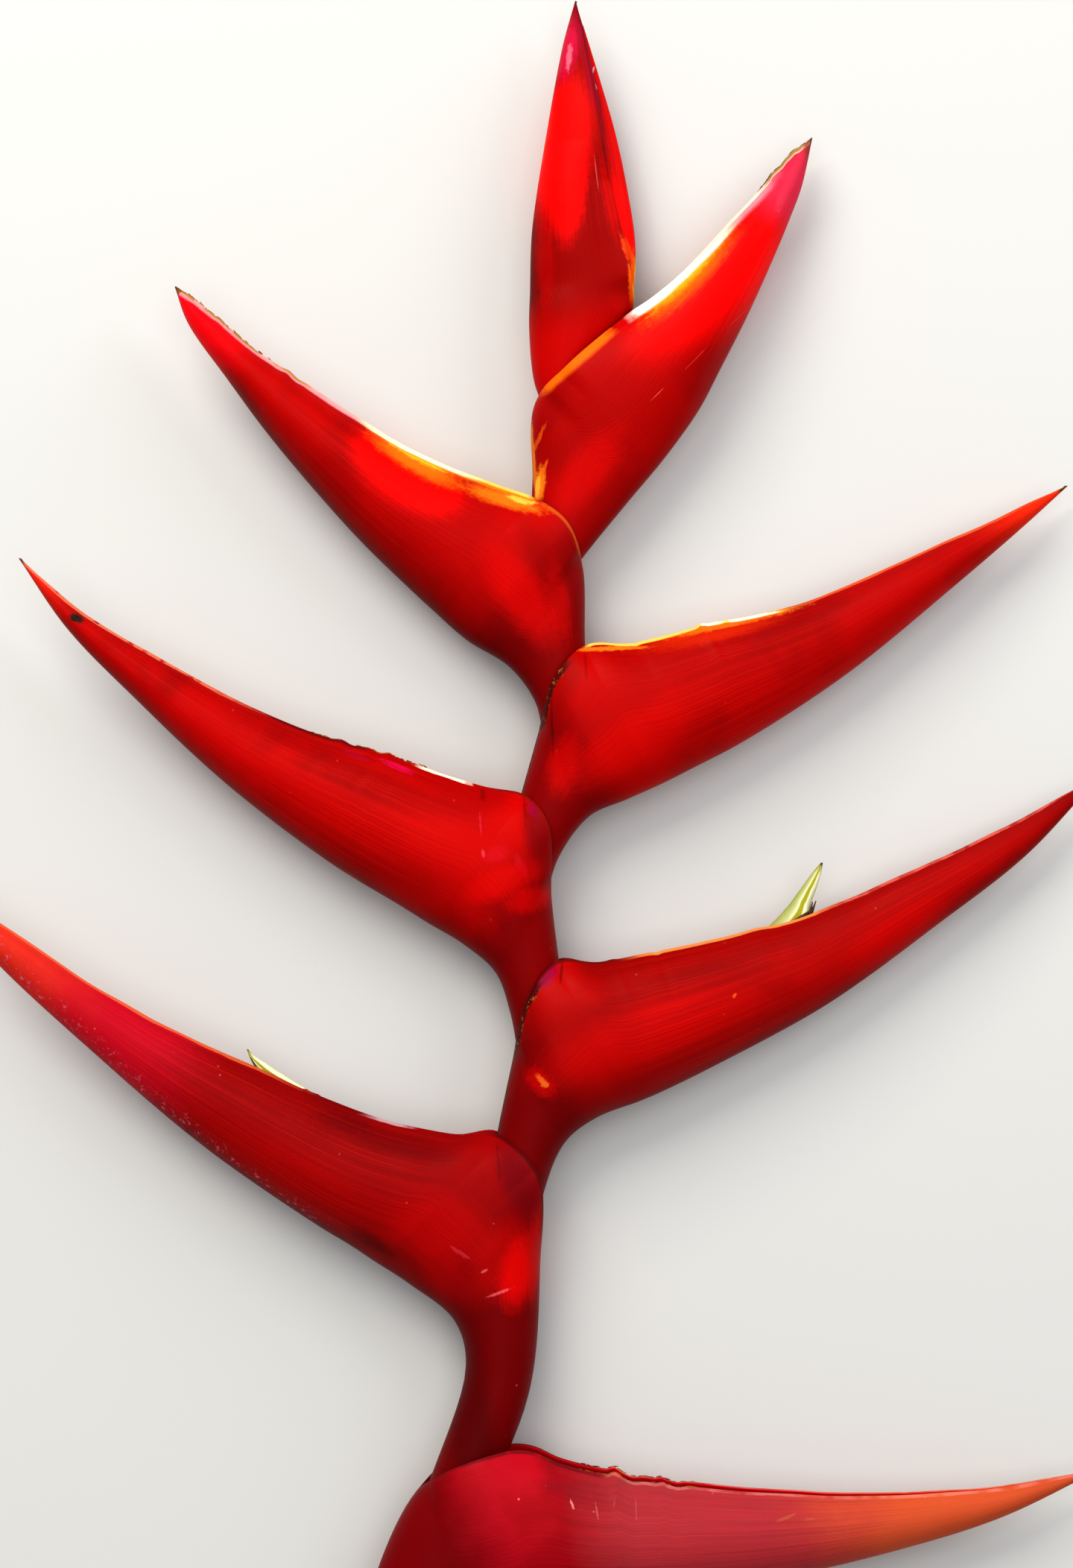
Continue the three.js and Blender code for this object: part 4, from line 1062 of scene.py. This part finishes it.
dry_scales_along_lip = fraying_tree()
for number, bract in enumerate(BRACTS):
    if bract["name"] not in DRY_EDGES:
        continue
    start, end, share_left = DRY_EDGES[bract["name"]]
    rings, numbers, _ = bract_mesh(bract, 10 * number)
    dry = (numbers["out"][:, 0] > start) & (numbers["out"][:, 0] < end)
    lips = [rings[dry, LIP_ROW], rings[dry, FAR_LIP_ROW]]
    keel_line = rings[dry, CHEEK_POINTS - 1]
    outward = [SCALE_LEAN * (lip - keel_line)
               / np.linalg.norm(lip - keel_line, axis=1)[:, None] for lip in lips]
    edge_path = path_mesh(bract["name"] + "_lip_path", lips, {"outward": outward})
    edge = made_by(dry_scales_along_lip, bract["name"] + "_dry_edge", edge_path, {
        **{key: size * MM for key, size in SCALE_SIZES.items()},
        "Share Left": share_left, "Spread": SCALE_SPREAD, "Seed": number, "Skin": dry_skin,
    })
    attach(edge, "root")

# The rolled bud: the youngest bract of all, still wound tight over the growing tip and held
# between the margins of the top bract. Its keel is the strip along the spike's right edge.
BUD_FRONT = [(25.2, 194.6), (25.8, 199.5), (26.1, 204), (25.9, 209.5), (24.5, 218.7),
             (21.8, 231.5), (18.1, 244.3), (14.8, 255)]
BUD_BACK = [(16.5, 196), (13, 199.5), (10.5, 204), (9, 211), (9.6, 220.5), (11, 232),
            (12.6, 244), (14.8, 255)]
BUD_HALF_WIDTH = [1.6, 3, 3.8, 3.7, 3.2, 2.3, 1.2, 0]
BUD_STEPS, BUD_SIDES, BUD_LENGTH = 90, 48, 57

bud_shares = np.linspace(0, 1, BUD_STEPS, endpoint=False)
bud_front, bud_back = through(BUD_FRONT)(bud_shares), through(BUD_BACK)(bud_shares)
bud_width = through([(place, width) for place, width in enumerate(BUD_HALF_WIDTH)])(bud_shares)
bud_turn = np.linspace(0, 2 * math.pi, BUD_SIDES, endpoint=False)
bud_across = (1 - np.cos(bud_turn)) / 2
bud_flat = (bud_front[:, None, :]
            + (bud_back - bud_front)[:, None, :] * bud_across[None, :, None])
bud_height = MIDDLE + bud_width[:, 1][:, None] * np.sin(bud_turn)[None, :]
bud_rings = np.concatenate([bud_flat, bud_height[:, :, None]], axis=2)
# One point closes each end
foot, tip = BUD_STEPS * BUD_SIDES, BUD_STEPS * BUD_SIDES + 1
bud_points = np.vstack([bud_rings.reshape(-1, 3), bud_rings[0].mean(axis=0),
                        (*BUD_FRONT[-1], MIDDLE)])
bud_faces = tube_faces(BUD_STEPS, BUD_SIDES)
bud_faces += [(foot, (side + 1) % BUD_SIDES, side) for side in range(BUD_SIDES)]
bud_faces += [(tip, foot - BUD_SIDES + side, foot - BUD_SIDES + (side + 1) % BUD_SIDES)
              for side in range(BUD_SIDES)]
bud_depth = np.linalg.norm(bud_back - bud_front, axis=1)[:, None] * bud_across[None, :]
bud_numbers = {
    "across": np.tile(0.3 + 0.7 * bud_across, BUD_STEPS),
    "inside": np.zeros(BUD_STEPS * BUD_SIDES),
    "out": np.repeat(0.3 + 0.6 * bud_shares, BUD_SIDES),
    "along_mm": np.repeat(BUD_LENGTH * bud_shares, BUD_SIDES),
    "keel_mm": bud_depth.ravel() + 2,
    "edge_mm": np.full(BUD_STEPS * BUD_SIDES, 9.0),
}
# Painted light: the bud's tone is raised against the shade of the top bract's lip over it, and
# the bright red streak and the orange and yellow strokes by its foot are painted glow of light
# through its thin edge.
bud_skin = bract_skin("living_bud_skin", {
    "deep": "E40200", "bright": "C40200", "keel": 0, "lip": 0, "neck": 0, "streaks": 0.16,
    "flecks": 0,
    "layers": [],
    "marks": [
        ("900828", 0.8, 16.9, 240, 9, 1.2, 102), ("D8A0B0", 0.8, 17, 245.2, 0.8, 0.2, 80),
        ("D890A8", 0.7, 17.5, 241.6, 0.8, 0.2, 110), ("FF0000", 0.8, 23, 214, 9, 1.3, 108),
        ("F04A10", 0.8, 24.6, 206.2, 3, 0.6, 109), ("F06A10", 0.9, 25.8, 199.5, 6, 0.7, 92),
        ("F8C040", 0.9, 26.1, 198.5, 5, 0.3, 92),
    ],
})
bud = mesh_object("rolled_bud", bud_points, facing_out(bud_points, bud_faces), bud_skin,
                  {key: np.append(value, [value[0], value[-1]])
                   for key, value in bud_numbers.items()})
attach(bud, "root")
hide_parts("bud_bract")

# The florets: slender ribbed horns of soft cream tissue striped with green, which grow in
# clusters in the open bracts. One stands out past the lips of bract_6 and one past those of
# bract_7, with the dry threads of withered stamens. Rows are x, y, height off the middle, radius.
SHOWN_FLORETS = {
    "bract_6": [(22, 36, 0, 0.9), (38, 44, -0.9, 1.9), (50, 54.5, -1.2, 2.2),
                (56, 59, -1.5, 2.6), (60.4, 63.3, -1.6, 2.8), (62, 66.8, -1.5, 1.9),
                (63.9, 70.4, -1.4, 1.35), (65.2, 73, -1.3, 0.85), (66.2, 75.1, -1.2, 0.16)],
    "bract_7": [(-14, 2, 0, 0.9), (-27, 10.5, 0.5, 1.5), (-38, 20.8, 0, 1.4),
                (-45.6, 26, 0, 1), (-48.6, 27.6, -0.1, 1.2), (-51.6, 29.3, -0.2, 1.35),
                (-54.4, 31.4, -0.3, 1.15), (-56.2, 33.2, -0.4, 0.55), (-57.3, 35, -0.5, 0.12)],
}
DRY_THREADS = {
    "bract_6": [[(62.6, 61.6, -0.5, 0.4), (63.5, 64.2, -0.4, 0.35), (64.1, 66.7, -0.5, 0.12)],
                [(62.9, 61.6, -1.3, 0.4), (64, 64.4, -1.4, 0.3), (64.9, 66.9, -1.5, 0.1)],
                [(57.4, 60.6, -0.3, 0.3), (60.6, 62.6, 0.3, 0.6), (63.3, 64.6, 0.1, 0.2)]],
    "bract_7": [[(-54, 29.6, 0.6, 0.22), (-55.6, 31.7, 0.4, 0.16), (-56.6, 33.4, 0.2, 0.08)]],
}
# The tip of each hidden one: share of the way out, share of the way up, and place across.
# A share of 1 is that many knots past the corner, and a place of 1 that share of the width.
HIDDEN_FLORETS = [(0.78, 0.66, 0.5), (0.6, 0.5, -0.5), (0.42, 0.8, -0.15)]
KNOTS_OUT, WIDTH_SHARE = 3.4, 0.55
FLORET_RADIUS, THINNEST = 2.1, 0.06
FLORET_STEPS = 48
FLORET_SIZES = {"Sides": 32, "Ribs": 6.0, "Rib Share": 0.08, "Flatness": 0.8}

# Living floret tissue: soft, satin and cream, with green stripes from one edge of the horn over
# the top to the other, brown and dry at the tip. Its threads are withered and dark.
FLORET_MOTTLE_MM = 1000 / 260
FLORET_STRIPES = [(0, "B4BC80"), (0.14, "E8ECC8"), (0.35, "E6EAC0"), (0.39, "A09C18"),
                  (0.55, "9C9810"), (0.59, "DCE0B4"), (0.64, "D0D8A8"), (0.7, "B4BC80"),
                  (0.88, "A8B068"), (1, "8C9438")]
floret_tissue = bare_material("living_floret_tissue")
floret_share, floret_turn, floret_withered = (
    add(floret_tissue, "Attribute", attribute_name=key).outputs["Fac"]
    for key in ("share", "turn", "withered"))
floret_where = add(floret_tissue, "TexCoord").outputs["Object"]
floret_noise = add(floret_tissue, "TexNoise", {
    "Vector": floret_where, "Scale": 1000 / FLORET_MOTTLE_MM, "Detail": 4.0})
floret_wander = add(floret_tissue, "MapRange", {
    "Value": floret_noise, "To Min": -0.08, "To Max": 0.08})
floret_across = add(floret_tissue, "Math", [floret_turn, 1 / math.pi, floret_wander],
                    operation="MULTIPLY_ADD")
floret_stripes = add(floret_tissue, "ValToRGB", {"Fac": floret_across})
stops = floret_stripes.color_ramp.elements
for place, colour in FLORET_STRIPES:
    # A new ramp has its first and its last stop already
    stop = stops[-place] if place in (0, 1) else stops.new(place)
    stop.color = linear(colour)
floret_dry = add(floret_tissue, "Math", [floret_noise, 0.06, floret_share],
                 operation="MULTIPLY_ADD")
floret_tip = add(floret_tissue, "MapRange", {
    "Value": floret_dry, "From Min": 0.99, "From Max": 1.015})
floret_green = add(floret_tissue, "MapRange", {
    "Value": floret_share, "From Min": 0.86, "From Max": 0.97})
floret_shade = floret_stripes
for amount, colour in ((floret_green, "8E8A1C"), (floret_tip, "3E2810"),
                       (floret_withered, "46321A")):
    floret_shade = add(floret_tissue, "Mix", {0: amount, 6: floret_shade, 7: linear(colour)},
                       data_type="RGBA")
floret_relief = add(floret_tissue, "Bump", {
    "Height": floret_noise, "Strength": 0.3, "Distance": 0.2 * MM})
finish_material(floret_tissue, add(floret_tissue, "BsdfPrincipled", {
    "Base Color": floret_shade, "Roughness": 0.5, "IOR": 1.4, "Specular IOR Level": 0.3,
    "Normal": floret_relief, "Subsurface Weight": 0.12, "Subsurface Radius": (1.0, 0.8, 0.4),
    "Subsurface Scale": 1 * MM,
}))

for bract in BRACTS[1:]:
    keel_knots, margin_knots, sizes = bract_knots(bract)
    keel_line, margin_line = through(keel_knots), through(margin_knots)

    def in_blade(reach, height, across, radius):
        """A row of a floret's path at a share of the way out and up between the cheeks."""
        share = np.array([(CORNER_KNOT + KNOTS_OUT * reach) / (len(sizes) - 1)])
        keel_place, margin_place = keel_line(share)[0], margin_line(share)[0]
        flat = keel_place + (margin_place - keel_place) * height
        return (*flat, across * WIDTH_SHARE * bract["width"], radius * FLORET_RADIUS)

    horns = [[in_blade(0.02, 0.42, 0, 0.45),
              in_blade(0.4 * reach, 0.45, 0.7 * across, 0.85),
              in_blade(0.75 * reach, 0.6 * height + 0.15, across, 0.95),
              in_blade(reach, height, across, 0.15)]
             for reach, height, across in HIDDEN_FLORETS]
    if bract["name"] in SHOWN_FLORETS:
        horns.append(SHOWN_FLORETS[bract["name"]])
    threads = DRY_THREADS.get(bract["name"], [])
    shares = np.linspace(0, 1, FLORET_STEPS)
    rows, radii = [], []
    for path in horns + threads:
        rows.append(through([row[:3] for row in path])(shares) + [0, 0, MIDDLE])
        radius = through([(place, row[3]) for place, row in enumerate(path)])(shares)[:, 1]
        radii.append(np.maximum(radius, THINNEST) * MM)
    cluster_path = path_mesh(bract["name"] + "_floret_paths", rows, {
        "reach": radii, "share": [shares] * len(rows),
        "withered": [0 * shares] * len(horns) + [0 * shares + 1] * len(threads),
    })
    cluster_name = bract["name"].replace("bract", "floret_cluster")
    cluster = made_by(grown_along_path, cluster_name, cluster_path,
                      {**FLORET_SIZES, "Skin": floret_tissue})
    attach(cluster, "root")
    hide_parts(bract["name"].replace("bract", "florets"))
